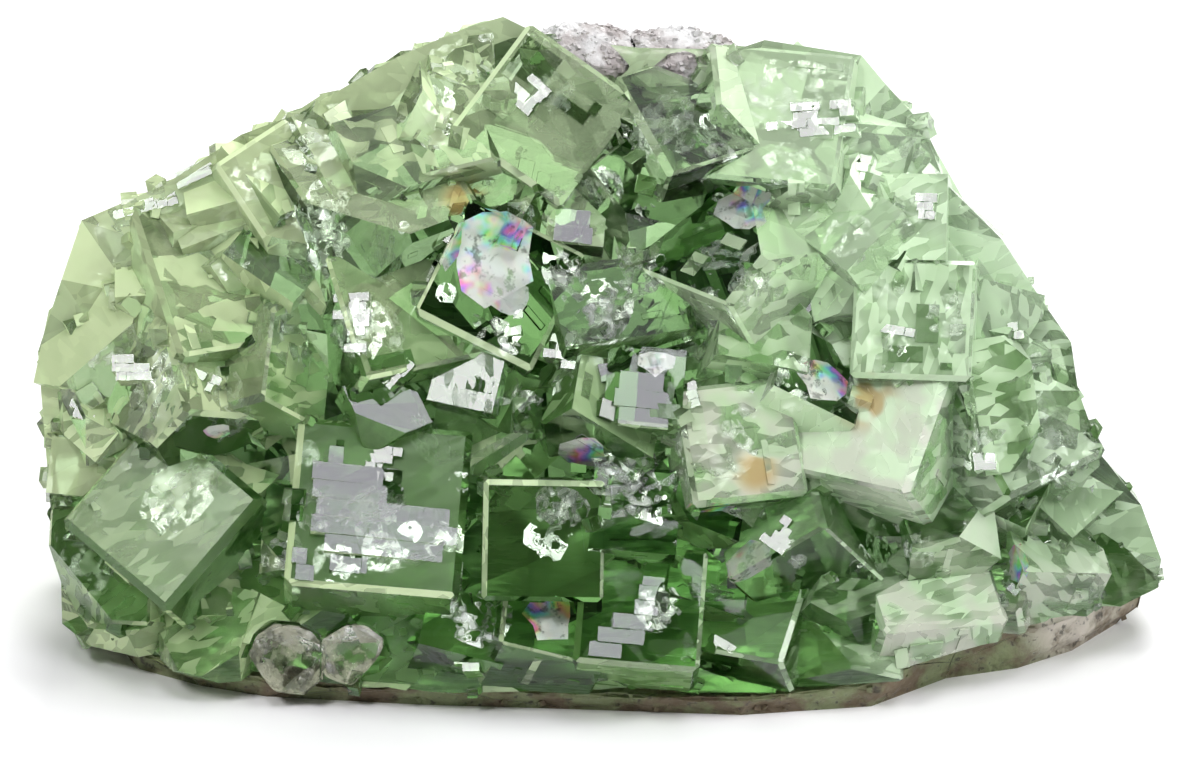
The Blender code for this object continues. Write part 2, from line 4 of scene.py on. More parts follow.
import bmesh
import bpy
from mathutils import Matrix, Vector, noise
from mathutils.bvhtree import BVHTree


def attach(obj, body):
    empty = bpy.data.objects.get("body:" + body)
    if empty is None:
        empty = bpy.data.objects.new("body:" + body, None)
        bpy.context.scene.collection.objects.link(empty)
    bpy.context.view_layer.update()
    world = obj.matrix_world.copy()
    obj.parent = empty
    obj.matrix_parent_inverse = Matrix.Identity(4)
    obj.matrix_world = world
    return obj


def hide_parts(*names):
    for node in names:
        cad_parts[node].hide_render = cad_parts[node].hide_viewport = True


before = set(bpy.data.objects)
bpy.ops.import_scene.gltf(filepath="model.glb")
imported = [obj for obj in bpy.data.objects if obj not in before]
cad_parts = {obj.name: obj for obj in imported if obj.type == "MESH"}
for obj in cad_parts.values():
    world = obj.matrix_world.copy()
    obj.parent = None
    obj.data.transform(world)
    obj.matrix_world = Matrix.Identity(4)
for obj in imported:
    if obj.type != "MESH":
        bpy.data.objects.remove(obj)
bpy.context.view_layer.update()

MM = 0.001

# The camera looks at the display side from a little above, from far off, as with a long lens.
LOOK_DOWN = math.radians(25)
CAMERA_DISTANCE = 0.8
VIEW_WIDTH = 0.126  # this much of the middle of the specimen fills the picture's width
AIM = Vector((0.0, 0.0, 27.2 * MM))
view_up = Vector((0.0, math.sin(LOOK_DOWN), math.cos(LOOK_DOWN)))
to_camera = Vector((0.0, -math.cos(LOOK_DOWN), math.sin(LOOK_DOWN)))
camera = bpy.data.objects.new("camera", bpy.data.cameras.new("camera"))
camera.location = AIM + to_camera * CAMERA_DISTANCE
camera.rotation_euler = (-to_camera).to_track_quat("-Z", "Y").to_euler()
camera.data.lens = camera.data.sensor_width * CAMERA_DISTANCE / VIEW_WIDTH
bpy.context.scene.collection.objects.link(camera)
bpy.context.scene.camera = camera

# The studio: a light tent, bright behind and above and dim behind the camera, on a pale floor with
# soft lamps. Its looks, as all looks here, are written as arithmetic with the nodes' sockets.


class Socket:
    """A node's output, or a plain number, in arithmetic that adds Math nodes to the tree."""

    def __init__(self, tree, link):
        self.tree = tree
        self.link = link

    def node(self, kind, settings=None, output=0, **sockets):
        """Adds any node: its settings first, then the values or links of its sockets."""
        made = self.tree.nodes.new(kind)
        for name, value in (settings or {}).items():
            setattr(made, name, value)
        for name, value in sockets.items():
            key = int(name[1:]) if name[0] == "i" and name[1:].isdigit() else name.replace("_", " ")
            if isinstance(value, Socket):
                self.tree.links.new(value.link, made.inputs[key])
            else:
                made.inputs[key].default_value = value
        return Socket(self.tree, made.outputs[output])

    def other(self, output):
        """Another output of the same node."""
        return Socket(self.tree, self.link.node.outputs[output])

    def feeds(self, shader, name):
        self.tree.links.new(self.link, shader.inputs[name])

    def math(self, operation, other=0.0):
        return self.node("ShaderNodeMath", {"operation": operation}, i0=self, i1=other)

    def __add__(self, other):
        return self.math("ADD", other)

    def __sub__(self, other):
        return self.math("SUBTRACT", other)

    def __mul__(self, other):
        return self.math("MULTIPLY", other)

    def __rsub__(self, other):
        return self.node("ShaderNodeMath", {"operation": "SUBTRACT"}, i0=other, i1=self)

    __radd__ = __add__
    __rmul__ = __mul__

    def step(self, low, high, start=0.0, end=1.0):
        """Rises smoothly from start to end while the value goes from low to high."""
        limits = dict(From_Min=low, From_Max=high, To_Min=start, To_Max=end)
        return self.node("ShaderNodeMapRange", {"interpolation_type": "SMOOTHSTEP"}, Value=self, **limits)

    def mix(self, first, second):
        """Mixes two colours by this value."""
        return self.node("ShaderNodeMix", {"data_type": "RGBA"}, output=2, i0=self, i6=first, i7=second)

    def noise(self, scale, detail=2.0, roughness=0.5):
        """Cloudy noise at this place, so many times to the metre."""
        shape = dict(Scale=scale, Detail=detail, Roughness=roughness)
        return self.node("ShaderNodeTexNoise", None, Vector=self, **shape)


def new_look(name):
    """A material with its Principled shader, and the place on the piece as a socket."""
    look = bpy.data.materials.new(name)
    look.use_nodes = True
    tree = look.node_tree
    place = Socket(tree, tree.nodes.new("ShaderNodeTexCoord").outputs["Object"])
    return look, tree.nodes["Principled BSDF"], place


TENT_FRONT = 0.6
TENT_BACK = 1.7
TENT_TOP = 0.3
TENT_TURN = (-0.5, 0.6)  # headings forward, between which it changes from front to back
TENT_RISE = (0.6, 1.0)  # headings upward, between which the top gets brighter
EXPOSURE = 0.15
world = bpy.data.worlds.new("studio")
bpy.context.scene.world = world
world.use_nodes = True
tree = world.node_tree
heading = Socket(tree, tree.nodes.new("ShaderNodeTexCoord").outputs["Generated"])
axes = heading.node("ShaderNodeSeparateXYZ", None, i0=heading)
tent = axes.other(1).step(*TENT_TURN, TENT_FRONT, TENT_BACK) + axes.other(2).step(*TENT_RISE, 0.0, TENT_TOP)
tent.feeds(tree.nodes["Background"], "Strength")
bpy.context.scene.view_settings.view_transform = "Standard"
bpy.context.scene.view_settings.exposure = EXPOSURE

# Light bounces just often enough inside the clear crystals.
cycles = bpy.context.scene.cycles
cycles.max_bounces = 4
cycles.diffuse_bounces = 2
cycles.glossy_bounces = 3
cycles.transmission_bounces = 4
cycles.transparent_max_bounces = 4
cycles.sample_clamp_indirect = 7.0
cycles.blur_glossy = 0.5

FLOOR_HALF = 3.0
SQUARE = ((-1, -1), (1, -1), (1, 1), (-1, 1))
WHITE_CARD = ((0.93, 0.93, 0.93, 1), (0.95, 0.95, 0.95, 1))
CARD_ROUGHNESS = 0.8
CARD_CLOUDS = 4.0  # to the metre
CARD_PALER = (0.2, 0.8)
floor_mesh = bpy.data.meshes.new("floor")
floor_corners = [(x * FLOOR_HALF, y * FLOOR_HALF, 0) for x, y in SQUARE]
floor_mesh.from_pydata(floor_corners, [], [(0, 1, 2, 3)])
floor = bpy.data.objects.new("floor", floor_mesh)
bpy.context.scene.collection.objects.link(floor)
floor_look, shader, place = new_look("white_card")
shader.inputs["Roughness"].default_value = CARD_ROUGHNESS
place.noise(CARD_CLOUDS).step(*CARD_PALER).mix(*WHITE_CARD).feeds(shader, "Base Color")
floor_mesh.materials.append(floor_look)


def soft_lamp(name, azimuth, elevation, distance, width, radiance):
    """A square soft box that shines at the middle of the specimen."""
    lamp = bpy.data.objects.new(name, bpy.data.lights.new(name, "AREA"))
    turn = math.radians(azimuth)
    rise = math.radians(elevation)
    heading = Vector((math.sin(turn) * math.cos(rise), -math.cos(turn) * math.cos(rise), math.sin(rise)))
    lamp.location = AIM + heading * distance
    lamp.rotation_euler = (-heading).to_track_quat("-Z", "Y").to_euler()
    lamp.data.size = width
    lamp.data.energy = radiance * math.pi * width * width
    bpy.context.scene.collection.objects.link(lamp)
    return lamp


FRONT_LIGHT = (0.98, 0.94, 1.06)

# Each lamp's heading to the right and upward in degrees, distance and width in metres, and radiance.
front_lamp = soft_lamp("front_lamp", 24, 60, 0.6, 0.17, 9.5)
front_lamp.data.color = FRONT_LIGHT
window_lamp = soft_lamp("window_lamp", -38, 48, 0.6, 0.14, 20.0)
soft_lamp("side_lamp", 70, 35, 0.7, 0.22, 15.0)
soft_lamp("back_lamp", 172, 52, 0.7, 0.28, 13.0)
soft_lamp("top_lamp", 0, 88, 1.2, 0.9, 1.6)

# The crystals: fluorite, clear to cloudy, grown together as one solid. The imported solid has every
# cube; here its faces get their growth terraces, the mosaic of slightly tilted blocks that mirrors
# the lamp, and the crumbs of small cubes that fill the grooves between the large ones.
SEED = 21
MERGED = 0.002 * MM
FLAT = math.radians(0.4)
luck = random.Random(SEED)
host = bmesh.new()
host.from_mesh(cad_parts["fluorite_crystals"].data)
bmesh.ops.remove_doubles(host, verts=host.verts, dist=MERGED)
bmesh.ops.dissolve_limit(host, verts=host.verts, edges=host.edges, angle_limit=FLAT)
host.faces.ensure_lookup_table()
host_tree = BVHTree.FromBMesh(host)
growth = bmesh.new()
UNDER = 0.5 * MM  # blocks reach this far under the face that they grew on
LOWEST = 0.02 * MM  # and no corner of their tops is lower than this above it
BOX_SIDES = ((3, 2, 1, 0), (4, 5, 6, 7), (0, 1, 5, 4), (1, 2, 6, 5), (2, 3, 7, 6), (3, 0, 4, 7))


def block(centre, axes, halves, below, above, top_normal=None):
    """Adds a block: axes are its length, width and up; its top may be tilted to a normal."""
    along, across, out = axes
    corners = []
    for height in (-below, above):
        for a, b in SQUARE:
            offset = along * (a * halves[0]) + across * (b * halves[1])
            lift = height
            if height > 0 and top_normal is not None:
                lift = max(height - offset.dot(top_normal) / out.dot(top_normal), LOWEST)
            corners.append(growth.verts.new(centre + offset + out * lift))
    for ring in BOX_SIDES:
        growth.faces.new([corners[k] for k in ring])


def inside_face(face, axes, point):
    """True if a point in a face's plane lies within its outline."""
    x = point.dot(axes[0])
    y = point.dot(axes[1])
    inside = False
    corners = [(loop.vert.co.dot(axes[0]), loop.vert.co.dot(axes[1])) for loop in face.loops]
    for (x0, y0), (x1, y1) in zip(corners, corners[1:] + corners[:1]):
        if (y0 > y) != (y1 > y) and x < x0 + (y - y0) * (x1 - x0) / (y1 - y0):
            inside = not inside
    return inside


def face_axes(face):
    """A face's directions: along its longest edge, across it in the face, and out of it."""
    longest = max(face.edges, key=lambda edge: edge.calc_length())
    along = (longest.verts[1].co - longest.verts[0].co).normalized()
    return along, face.normal.cross(along).normalized(), face.normal.copy()


def any_heading():
    """A direction of no side in particular."""
    return Vector([luck.gauss(0, 1) for _ in range(3)]).normalized()


TERRACED_FROM = 9 * MM * MM  # smaller faces stay plain
TERRACE_AREA = 7.0 * MM * MM  # one terrace for each of these
MOST_TERRACES = 26
TERRACE_HALF = (0.35 * MM, 2.6 * MM)
TERRACE_HIGH = (0.04 * MM, 0.20 * MM)
TERRACE_TILT = 0.04  # radians
MOSTLY_SMALL = 1.8  # the power that makes small terraces the commonest
for face in host.faces:
    area = face.calc_area()
    if area < TERRACED_FROM:
        continue
    axes = face_axes(face)
    middle = face.calc_center_median()
    reach = max((vert.co - middle).length for vert in face.verts)
    for _ in range(min(MOST_TERRACES, int(area / TERRACE_AREA) + 1)):
        centre = middle + axes[0] * luck.uniform(-reach, reach) + axes[1] * luck.uniform(-reach, reach)
        low, high = TERRACE_HALF
        halves = [low + (high - low) * luck.random() ** MOSTLY_SMALL for _ in range(2)]
        corners = [
            centre + axes[0] * (a * halves[0]) + axes[1] * (b * halves[1]) for a in (-1, 1) for b in (-1, 1)
        ]
        if all(inside_face(face, axes, corner) for corner in corners):
            top = (axes[2] + any_heading() * TERRACE_TILT * luck.random()).normalized()
            block(centre, axes, halves, UNDER, luck.uniform(*TERRACE_HIGH), top)


RAY_LENGTH = 0.2  # metres, from outside the specimen


def seen_on(across, up):
    """What the middle line of sight meets, moved so far across and up: place, normal and face."""
    start = (Vector((across, 0, 0)) + view_up * up) * MM
    place, normal, number, _ = host_tree.ray_cast(start + to_camera * RAY_LENGTH, -to_camera)
    return place, normal, host.faces[number]


def throws_back(place, lamp):
    """The normal with which a face at a place mirrors a lamp into the camera."""
    return ((lamp.location - place).normalized() + (camera.location - place).normalized()).normalized()


BRICK_LENGTHS = (0.8, 1.2, 1.7, 2.6)  # of the rows' width
BRICK_HIGH = (0.20 * MM, 0.30 * MM)
SWAY = 0.006  # radians, from brick to brick
LEVEL = 0.7  # an edge runs along the rows if at least this share of it is across
SHORTEST_BRICK = 0.05  # of a brick


def mosaic(across, up, rows, brick, whole, lamp):
    """Blocks in rows on the face at a place; each row is its start and end across, in bricks."""
    place, normal, face = seen_on(across, up)
    along, sideways, out = face_axes(face)
    if abs(along.x) < LEVEL:
        along = sideways
    if along.x < 0:
        along = -along
    upward = out.cross(along)
    if upward.z < 0:
        upward = -upward
    axes = along, upward, out
    for number, (here, end) in enumerate(rows):
        while here < end - SHORTEST_BRICK:
            length = end - here
            if luck.random() > whole:
                length = min(length, luck.choice(BRICK_LENGTHS))
            middle = place + along * ((here + length / 2) * brick) - upward * (number * brick)
            if inside_face(face, axes, middle):
                aim = (throws_back(middle, lamp) + any_heading() * SWAY).normalized()
                halves = 0.5 * length * brick, 0.5 * brick
                block(middle, axes, halves, UNDER, luck.uniform(*BRICK_HIGH), aim)
            here += length


# The mosaics that mirror the front lamp, grey and lilac: across and up in millimetres, the rows in
# bricks, the rows' width in millimetres, and how often the rest of a row is one brick.
GREY_MOSAICS = (
    (
        -29.0, 17.0,
        ((0.6, 1.4), (-0.2, 4.5), (-0.1, 4.8), (0.2, 7.4), (0.0, 7.9), (0.8, 7.2), (1.2, 3.2)),
        1.9, 0.3,
    ),
    (-31.6, 12.4, ((0, 1.0), (0, 1.0)), 1.7, 0.3),
    (-31.0, 6.6, ((-0.3, 0.6), (0.0, 1.1), (0.4, 1.3)), 1.7, 0.3),
    (-0.4, 11.2, ((-0.2, 1.2), (0.4, 2.4), (1.2, 3.8), (3.0, 4.4)), 1.5, 0.3),
    (2.5, 4.4, ((1.2, 2.6), (1.0, 2.5), (0.8, 2.3), (-0.5, 2.1), (-1.4, 1.6), (-1.9, 0.2)), 1.6, 0.3),
    (2.0, 24.6, ((0, 2.4), (-0.2, 3.0), (0.1, 2.8)), 1.9, 0.9),
    (-4.6, 41.4, ((0, 2.0), (0, 2.2)), 1.8, 0.9),
)
for across, up, rows, brick, whole in GREY_MOSAICS:
    mosaic(across, up, rows, brick * MM, whole, front_lamp)

# Broken crystals whose stepped faces throw the window's light straight back: across, up, width
# and height in millimetres, and the turn of their edges in degrees.
WHITE_GLINTS = (
    (-46.0, 42.6, 5.0, 2.2, 20), (-41.5, 45.6, 4.0, 1.8, 30), (-46.6, 25.4, 5.0, 2.4, 5),
    (-40.6, 24.0, 3.0, 2.0, -15), (-24.5, 30.0, 1.8, 6.0, 8), (-22.6, 15.6, 4.4, 3.2, 0),
    (22.5, 51.0, 8.0, 3.4, 12), (31.0, 29.6, 5.4, 2.2, 0), (39.6, 16.2, 2.2, 3.0, 10),
    (-7.5, 53.0, 2.2, 4.6, -35), (-3.0, 27.0, 2.0, 3.6, 0), (42.4, 30.0, 2.6, 3.6, 15),
    (33.5, 42.0, 2.2, 3.0, 5), (8.0, 28.6, 3.0, 1.6, 25), (-8.6, 30.0, 1.6, 3.0, 15),
    (-54.0, 21.0, 3.0, 1.4, -15), (9.6, 22.6, 2.0, 2.4, 30), (-21.0, 25.0, 2.2, 3.4, -35),
    (27.0, 46.0, 2.0, 2.4, 0), (46.0, 8.0, 2.2, 1.8, 30), (19.0, 8.0, 1.6, 3.2, -25),
    (-13.0, -4.6, 1.8, 2.6, 10), (12.6, -3.6, 2.0, 1.8, -20),
)
GLINT_STEP = 0.9 * MM  # the rows' width
GLINT_SWAY = 0.05  # radians, at most, from block to block
GLINT_KEPT = 0.85  # the share of blocks that didn't break away
GLINT_UNDER = 2.2 * MM
GLINT_HIGH = (0.05 * MM, 0.45 * MM)
GLINT_ENDS = (0.5, 1.1)  # how far a row reaches, as a share of half the width
for across, up, wide, high, edges in WHITE_GLINTS:
    place, _, _ = seen_on(across, up)
    out = throws_back(place, window_lamp)
    along = Matrix.Rotation(math.radians(edges), 3, out) @ Vector((0, 0, -1)).cross(out).normalized()
    upward = out.cross(along)
    rows = max(1, round(high * MM / GLINT_STEP))
    for row in range(rows):
        here = -0.5 * wide * MM * luck.uniform(*GLINT_ENDS)
        end = 0.5 * wide * MM * luck.uniform(*GLINT_ENDS)
        while here < end:
            length = GLINT_STEP * luck.choice(BRICK_LENGTHS)
            middle = place + along * (here + length / 2) + upward * ((row - rows / 2) * GLINT_STEP)
            if luck.random() < GLINT_KEPT:
                aim = (out + any_heading() * GLINT_SWAY * luck.random()).normalized()
                halves = 0.5 * length, 0.5 * GLINT_STEP
                block(middle, (along, upward, out), halves, GLINT_UNDER, luck.uniform(*GLINT_HIGH), aim)
            here += length

# Crumbs of crystal stand in the grooves, most of them in the sharp ones.
CRUMBS = 640
CRUMB_HALF = (0.25 * MM, 0.95 * MM)
CRUMB_SIDES = (0.6, 1.4)
MOSTLY_FINE = 1.6  # the power that makes small crumbs the commonest
GROOVE = -0.35  # radians: how far the faces beside a groove are turned to each other
SHARP_GROOVE = -0.9
SHARP_SHARE = 3  # this many times as many in sharp grooves
grooves = [edge for edge in host.edges if edge.is_manifold and edge.calc_face_angle_signed() < GROOVE]
sharpness = [SHARP_SHARE if edge.calc_face_angle_signed() < SHARP_GROOVE else 1 for edge in grooves]
weights = [edge.calc_length() * share for edge, share in zip(grooves, sharpness)]
for edge in luck.choices(grooves, weights, k=CRUMBS):
    centre = edge.verts[0].co.lerp(edge.verts[1].co, luck.random())
    half = CRUMB_HALF[0] + (CRUMB_HALF[1] - CRUMB_HALF[0]) * luck.random() ** MOSTLY_FINE
    spin = Matrix.Rotation(luck.uniform(0, math.pi), 3, any_heading())
    sides = [half * luck.uniform(*CRUMB_SIDES) for _ in range(3)]
    block(centre, [spin.col[k] for k in range(3)], sides, sides[2], sides[2])

bmesh.ops.recalc_face_normals(growth, faces=growth.faces)
fluorite_mesh = bpy.data.meshes.new("fluorite")
host.to_mesh(fluorite_mesh)
fluorite = bpy.data.objects.new("fluorite", fluorite_mesh)
bpy.context.scene.collection.objects.link(fluorite)
growth_mesh = bpy.data.meshes.new("growth")
growth.to_mesh(growth_mesh)
growth_object = bpy.data.objects.new("growth", growth_mesh)
bpy.context.scene.collection.objects.link(growth_object)
join = fluorite.modifiers.new("join", "BOOLEAN")
join.operation = "UNION"
join.solver = "EXACT"
join.use_self = True
join.object = growth_object
grown_together = fluorite.evaluated_get(bpy.context.evaluated_depsgraph_get())
fluorite_mesh = bpy.data.meshes.new_from_object(grown_together)
fluorite.modifiers.clear()
fluorite.data = fluorite_mesh
bpy.data.objects.remove(growth_object)

FLUORITE_IOR = 1.434

# Where the crystals are paler and cloudier, partly their own cloudiness and partly painted light, and,
# with a minus, where they are clear, deep and darker, as painted shade: across, up and radius in
# millimetres, and how much.
MILK_LIGHT_AND_SHADE_PLACES = (
    (21, 54, 13, 0.6), (30, 17, 10, 0.15), (18.6, 34, 6, 0.5), (-15, 55, 11, 0.5), (42, -1.7, 13, -0.1),
    (-13, 8, 24, -0.55), (-20, 6, 13, -0.25), (-19, 19, 14, -0.4), (4, 4, 16, -0.45),
    (-46, 37, 14, 0.25), (-56, 20, 10, 0.3), (33, 50, 10, 0.5), (40, 36, 12, 0.3), (-5, 53, 10, -0.8),
    (9, 50, 8, -0.65), (-25, 40, 9, -0.25), (-43.5, 9.5, 10, -0.4), (-36, 30, 16, 0.2),
    (17, 36, 12, 0.35), (14, 18, 10, 0.5), (16, 27, 9, 0.2), (26, 22, 13, 0.35), (-42, 49, 13, 0.5),
    (0, -2, 20, -0.2), (-50, 37, 14, 0.25), (37, 44, 12, 0.3), (41, 28, 12, 0.3), (-54, 5, 12, -0.3),
    (52, 8, 10, -0.2), (-22, 1, 9, -0.4), (22, 38, 9, 0.45), (-40, 51, 13, 0.2),
)
MILKY = 0.16  # everywhere, and more by these shares over these millimetres up, right and left
# The rise towards the top, right and left is painted light: paler, cloudier crystals where light comes
# through from behind.
PAINTED_LIGHT_TOP = (0.42, 24, 56)
PAINTED_LIGHT_RIGHT = (0.35, 10, 48)
PAINTED_LIGHT_LEFT = (0.4, 26, 56)
SPOT_CORE = 0.3  # a place has its full effect within this share of its radius

# Where whole faces are smooth and even, and where they are crusted pink: across, up and radius in
# millimetres.
CALM_PLACES = (
    (-38.9, 40.9, 6), (-24.7, 39.3, 7), (-5.8, 54, 7), (8.4, 52.4, 6), (-49.4, 33, 7), (-4.2, 7.8, 6),
    (29.4, 27.7, 6), (22.0, 53.0, 6), (-46, 8.5, 7),
)
PINK_CRUSTS = ((30.5, 17, 11), (41, -2, 16), (14, 17, 8))
CALM_FROM = 0.7  # elsewhere a face is calm if its own share is larger than this


def ramp(value, low, high):
    """Rises smoothly from 0 to 1 while the value goes from low to high."""
    share = min(1.0, max(0.0, (value - low) / (high - low)))
    return share * share * (3 - 2 * share)


def seen_at(point):
    """Where a point is seen: across and up, in millimetres."""
    return point.x / MM, (point.z * math.cos(LOOK_DOWN) + point.y * math.sin(LOOK_DOWN)) / MM


def milk_and_light_at(point):
    """Their cloudiness at a place, with painted light at the top and ends, and painted shade in places."""
    across, up = seen_at(point)
    milky_and_lit = MILKY
    for value, (amount, low, high) in ((up, PAINTED_LIGHT_TOP), (across, PAINTED_LIGHT_RIGHT), (-across, PAINTED_LIGHT_LEFT)):
        milky_and_lit += amount * ramp(value, low, high)
    for x, y, radius, amount in MILK_LIGHT_AND_SHADE_PLACES:
        milky_and_lit += amount * ramp(math.hypot(across - x, up - y), radius, SPOT_CORE * radius)
    return milky_and_lit


# The rainbow cracks, which lie under clean faces: across, up, depth and radius in millimetres.
RAINBOW_CRACKS = (
    (-11.2, 37.4, 0.7, 5.6), (-15.6, 38.0, 0.5, 2.6), (14.7, 42.6, 0.6, 3.4), (-5.0, 0.2, 0.6, 3.2),
    (5.8, 26.9, 0.5, 2.2), (-1.6, 17.2, 0.5, 3.0), (12.0, 11.2, 0.5, 2.4), (15.2, 5.7, 0.6, 3.2),
    (43.0, 5.7, 0.5, 2.4), (23.0, 24.6, 0.5, 3.0), (-39.4, 19.3, 0.5, 1.8), (-9.0, 33.0, 0.6, 2.4),
)


def bent(direction, normal):
    """How light from a direction outside goes on in the crystal, told as the direction it comes from."""
    sideways = (direction - normal * direction.dot(normal)) / FLUORITE_IOR
    return sideways + normal * math.sqrt(1 - sideways.length_squared)


def throws_back_inside(place, normal, lamp):
    """The normal with which a film under a face mirrors a lamp into the camera."""
    to_lamp = (lamp.location - place).normalized()
    return (bent(to_lamp, normal) + bent(to_camera, normal)).normalized()


SHARES_VARY = 1.5
SHARE_PATCHES = 45  # to the metre
SHARE_TURNS = 4  # how much a face's heading counts
SHARES_APART = 9.7


def own_share(point, normal, number):
    """A share from 0 to 1 that is much the same on parallel faces near one another, and no others."""
    place = point * SHARE_PATCHES + normal * SHARE_TURNS + Vector((SHARES_APART * number, 0, 0))
    return min(1.0, max(0.0, 0.5 + SHARES_VARY * noise.noise(place)))


def is_dull_and_shaded(point, normal):
    """True low on the back and underneath: the crystals' dull faces on their host rock, also painted shade.
    """
    behind = point.y > DULL_BEHIND and point.z < DULL_BELOW
    return behind or (point.z < UNDER_BELOW and normal.z < UNDER_FACING)


def is_calm(point, normal):
    """True for faces that are smooth and evenly clouded, without cracks."""
    across, up = seen_at(point)
    near = any(math.hypot(across - x, up - y) < radius for x, y, radius in CALM_PLACES)
    return near or own_share(point, normal, 2) > CALM_FROM


def crustiness(point):
    """How crusted with pale pink a face is at a place."""
    across, up = seen_at(point)
    shares = [
        ramp(math.hypot(across - x, up - y), radius, SPOT_CORE * radius) for x, y, radius in PINK_CRUSTS
    ]
    return max(shares)


def over_rainbow(point):
    """True for faces over a rainbow crack."""
    across, up = seen_at(point)
    return any(math.hypot(across - x, up - y) < radius for x, y, _, radius in RAINBOW_CRACKS)


# Each flat face gets its own finish, from 0, glossy, to 1, satin, and its own cloudiness, with painted
# light and shade in it. The faces that mirror a lamp or lie over a rainbow crack are marked, because they
# stay clean, and so are the calm ones. The cubes' cut-off edges are painted pale as highlights.
SAME_PLANE = math.radians(0.6)
MIRRORS_WITHIN = math.radians(3.5)
LARGEST_MIRROR = 14 * MM * MM
MILKY_VARIES = 0.7
SATIN_MOST = 0.97
EDGE_LONG = 3.5 * MM  # faces at least this long and at most so wide are cubes' cut-off edges
EDGE_WIDE = 0.9 * MM
# The cut-off edges are made pale and cloudy as painted highlights, bright lines along the cubes' edges.
EDGE_FINISH = 0.62
EDGE_PAINTED_HIGHLIGHT = 0.75
# Low on the back and underneath, the faces are dull and cloudy; seen through the clear front, their dark
# cloud is painted shade in the lower middle.
DULL_BEHIND = 6 * MM  # the back is dull behind this and below the next
DULL_BELOW = 16 * MM
UNDER_BELOW = 9 * MM  # and faces below this that look down at least so much are dull too
UNDER_FACING = -0.6
faces = bmesh.new()
faces.from_mesh(fluorite_mesh)
LAYERS = ("finish", "milky_and_lit", "mirror", "calm", "crust")
for name in LAYERS:
    faces.faces.layers.float.new(name)
layers = [faces.faces.layers.float[name] for name in LAYERS]
grouped = set()
for seed in faces.faces:
    if seed in grouped:
        continue
    grouped.add(seed)
    plane = [seed]
    edge_of = [seed]
    while edge_of:
        face = edge_of.pop()
        for edge in face.edges:
            for other in edge.link_faces:
                if other not in grouped and other.normal.angle(seed.normal, math.pi) < SAME_PLANE:
                    grouped.add(other)
                    plane.append(other)
                    edge_of.append(other)
    middle = seed.calc_center_median()
    off = min(seed.normal.angle(throws_back(middle, lamp), math.pi) for lamp in (front_lamp, window_lamp))
    area = sum(face.calc_area() for face in plane)
    clean = off < MIRRORS_WITHIN and area < LARGEST_MIRROR
    face_milk_and_light = milk_and_light_at(middle) + MILKY_VARIES * (own_share(middle, seed.normal, 1) - 0.5)
    own_finish = 1.0 if is_dull_and_shaded(middle, seed.normal) else SATIN_MOST * own_share(middle, seed.normal, 0)
    length = max((face.verts[0].co - seed.verts[0].co).length for face in plane)
    length = max(length, max(edge.calc_length() for edge in seed.edges))
    # Painted highlights: the cut-off edges turn pale and cloudy, with a worn finish.
    if own_finish < 1.0 and length > EDGE_LONG and area < EDGE_WIDE * length:
        own_finish = max(own_finish, EDGE_FINISH)
        face_milk_and_light = max(face_milk_and_light, EDGE_PAINTED_HIGHLIGHT)
    clean = clean or over_rainbow(middle)
    calm = float(is_calm(middle, seed.normal))
    values = own_finish, face_milk_and_light, float(clean), calm, crustiness(middle)
    for face in plane:
        for layer, value in zip(layers, values):
            face[layer] = value
faces.to_mesh(fluorite_mesh)
faces.free()

CLEAR_TINT = (0.965, 0.99, 0.94, 1)
# The cloudy faces' green in a shaded and a lit copy: the dark one is painted shade, the pale ones to the
# left and right painted light, both over the crystals' own green.
CLOUD_SHADED_GREEN = (0.16, 0.33, 0.085, 1)
PALE_LEFT = (0.78, 0.93, 0.53, 1)
PALE_RIGHT = (0.74, 0.95, 0.65, 1)
CLOUD_PINK = (0.66, 0.65, 0.57, 1)
RUST = (0.52, 0.35, 0.11, 1)
GREEN_DEPTH = (0.36, 0.61, 0.23, 1)  # of the light that stays after a way through the crystal
GREEN_DENSITY = 62.0
RUST_STAINS = ((27.2, 22.8, 4.4), (16.0, 15.3, 3.2), (-14.0, 43.1, 3.4))
CLEAR_WINDOWS = ((-12.0, 37.6, 6.5), (14.7, 42.6, 3.6))  # over the largest rainbow cracks
SHARDS = (430.0, 430.0, 1150.0)  # shards to the metre; they are drawn out in one direction of each face
SHARD_AXIS = (0.6, 0.6, 0.5)
SHARD_TURN = 40.0  # radians from a glossy face to a satin one, so that no two faces match
SHARD_TILT = (0.3, 0.8, 0.015, 0.11)  # how far they lean: from and to these finishes
PATCHES = (240.0, 1.0, 0.7)  # to the metre, with this detail and roughness, as all noise here
CALM = 0.7  # the share of cracks and patches that calm faces lack
SHARD_CRACKS = 0.8  # how much shards, patches and crust count in what is cracked
PATCH_CRACKS = 0.6
CRUST_CRACKS = 0.1
CRACKED = (0.72, 0.82)  # where their sum is above this
PATCH_MILK = 0.7  # how much they count in what is pale
SHARD_MILK = 0.3
RUSTED = (0.47, 0.55)  # the patches that are stained, and crusted
CRUSTED = (0.40, 0.60)
STAINED = 0.8  # how much of a stain's or a crust's own colour shows
ENDS = (-0.04, 0.04)  # metres across, between which the pale green turns bluer
WORN_FROM = (0.66, 0.74)  # the finishes of worn faces, and of dull ones
DULL_FROM = (0.98, 1.0)
WORN_CLOUD = 0.32  # how much of the light these turn back, more so where cracked or pale
WORN_CRACK_CLOUD = 0.15
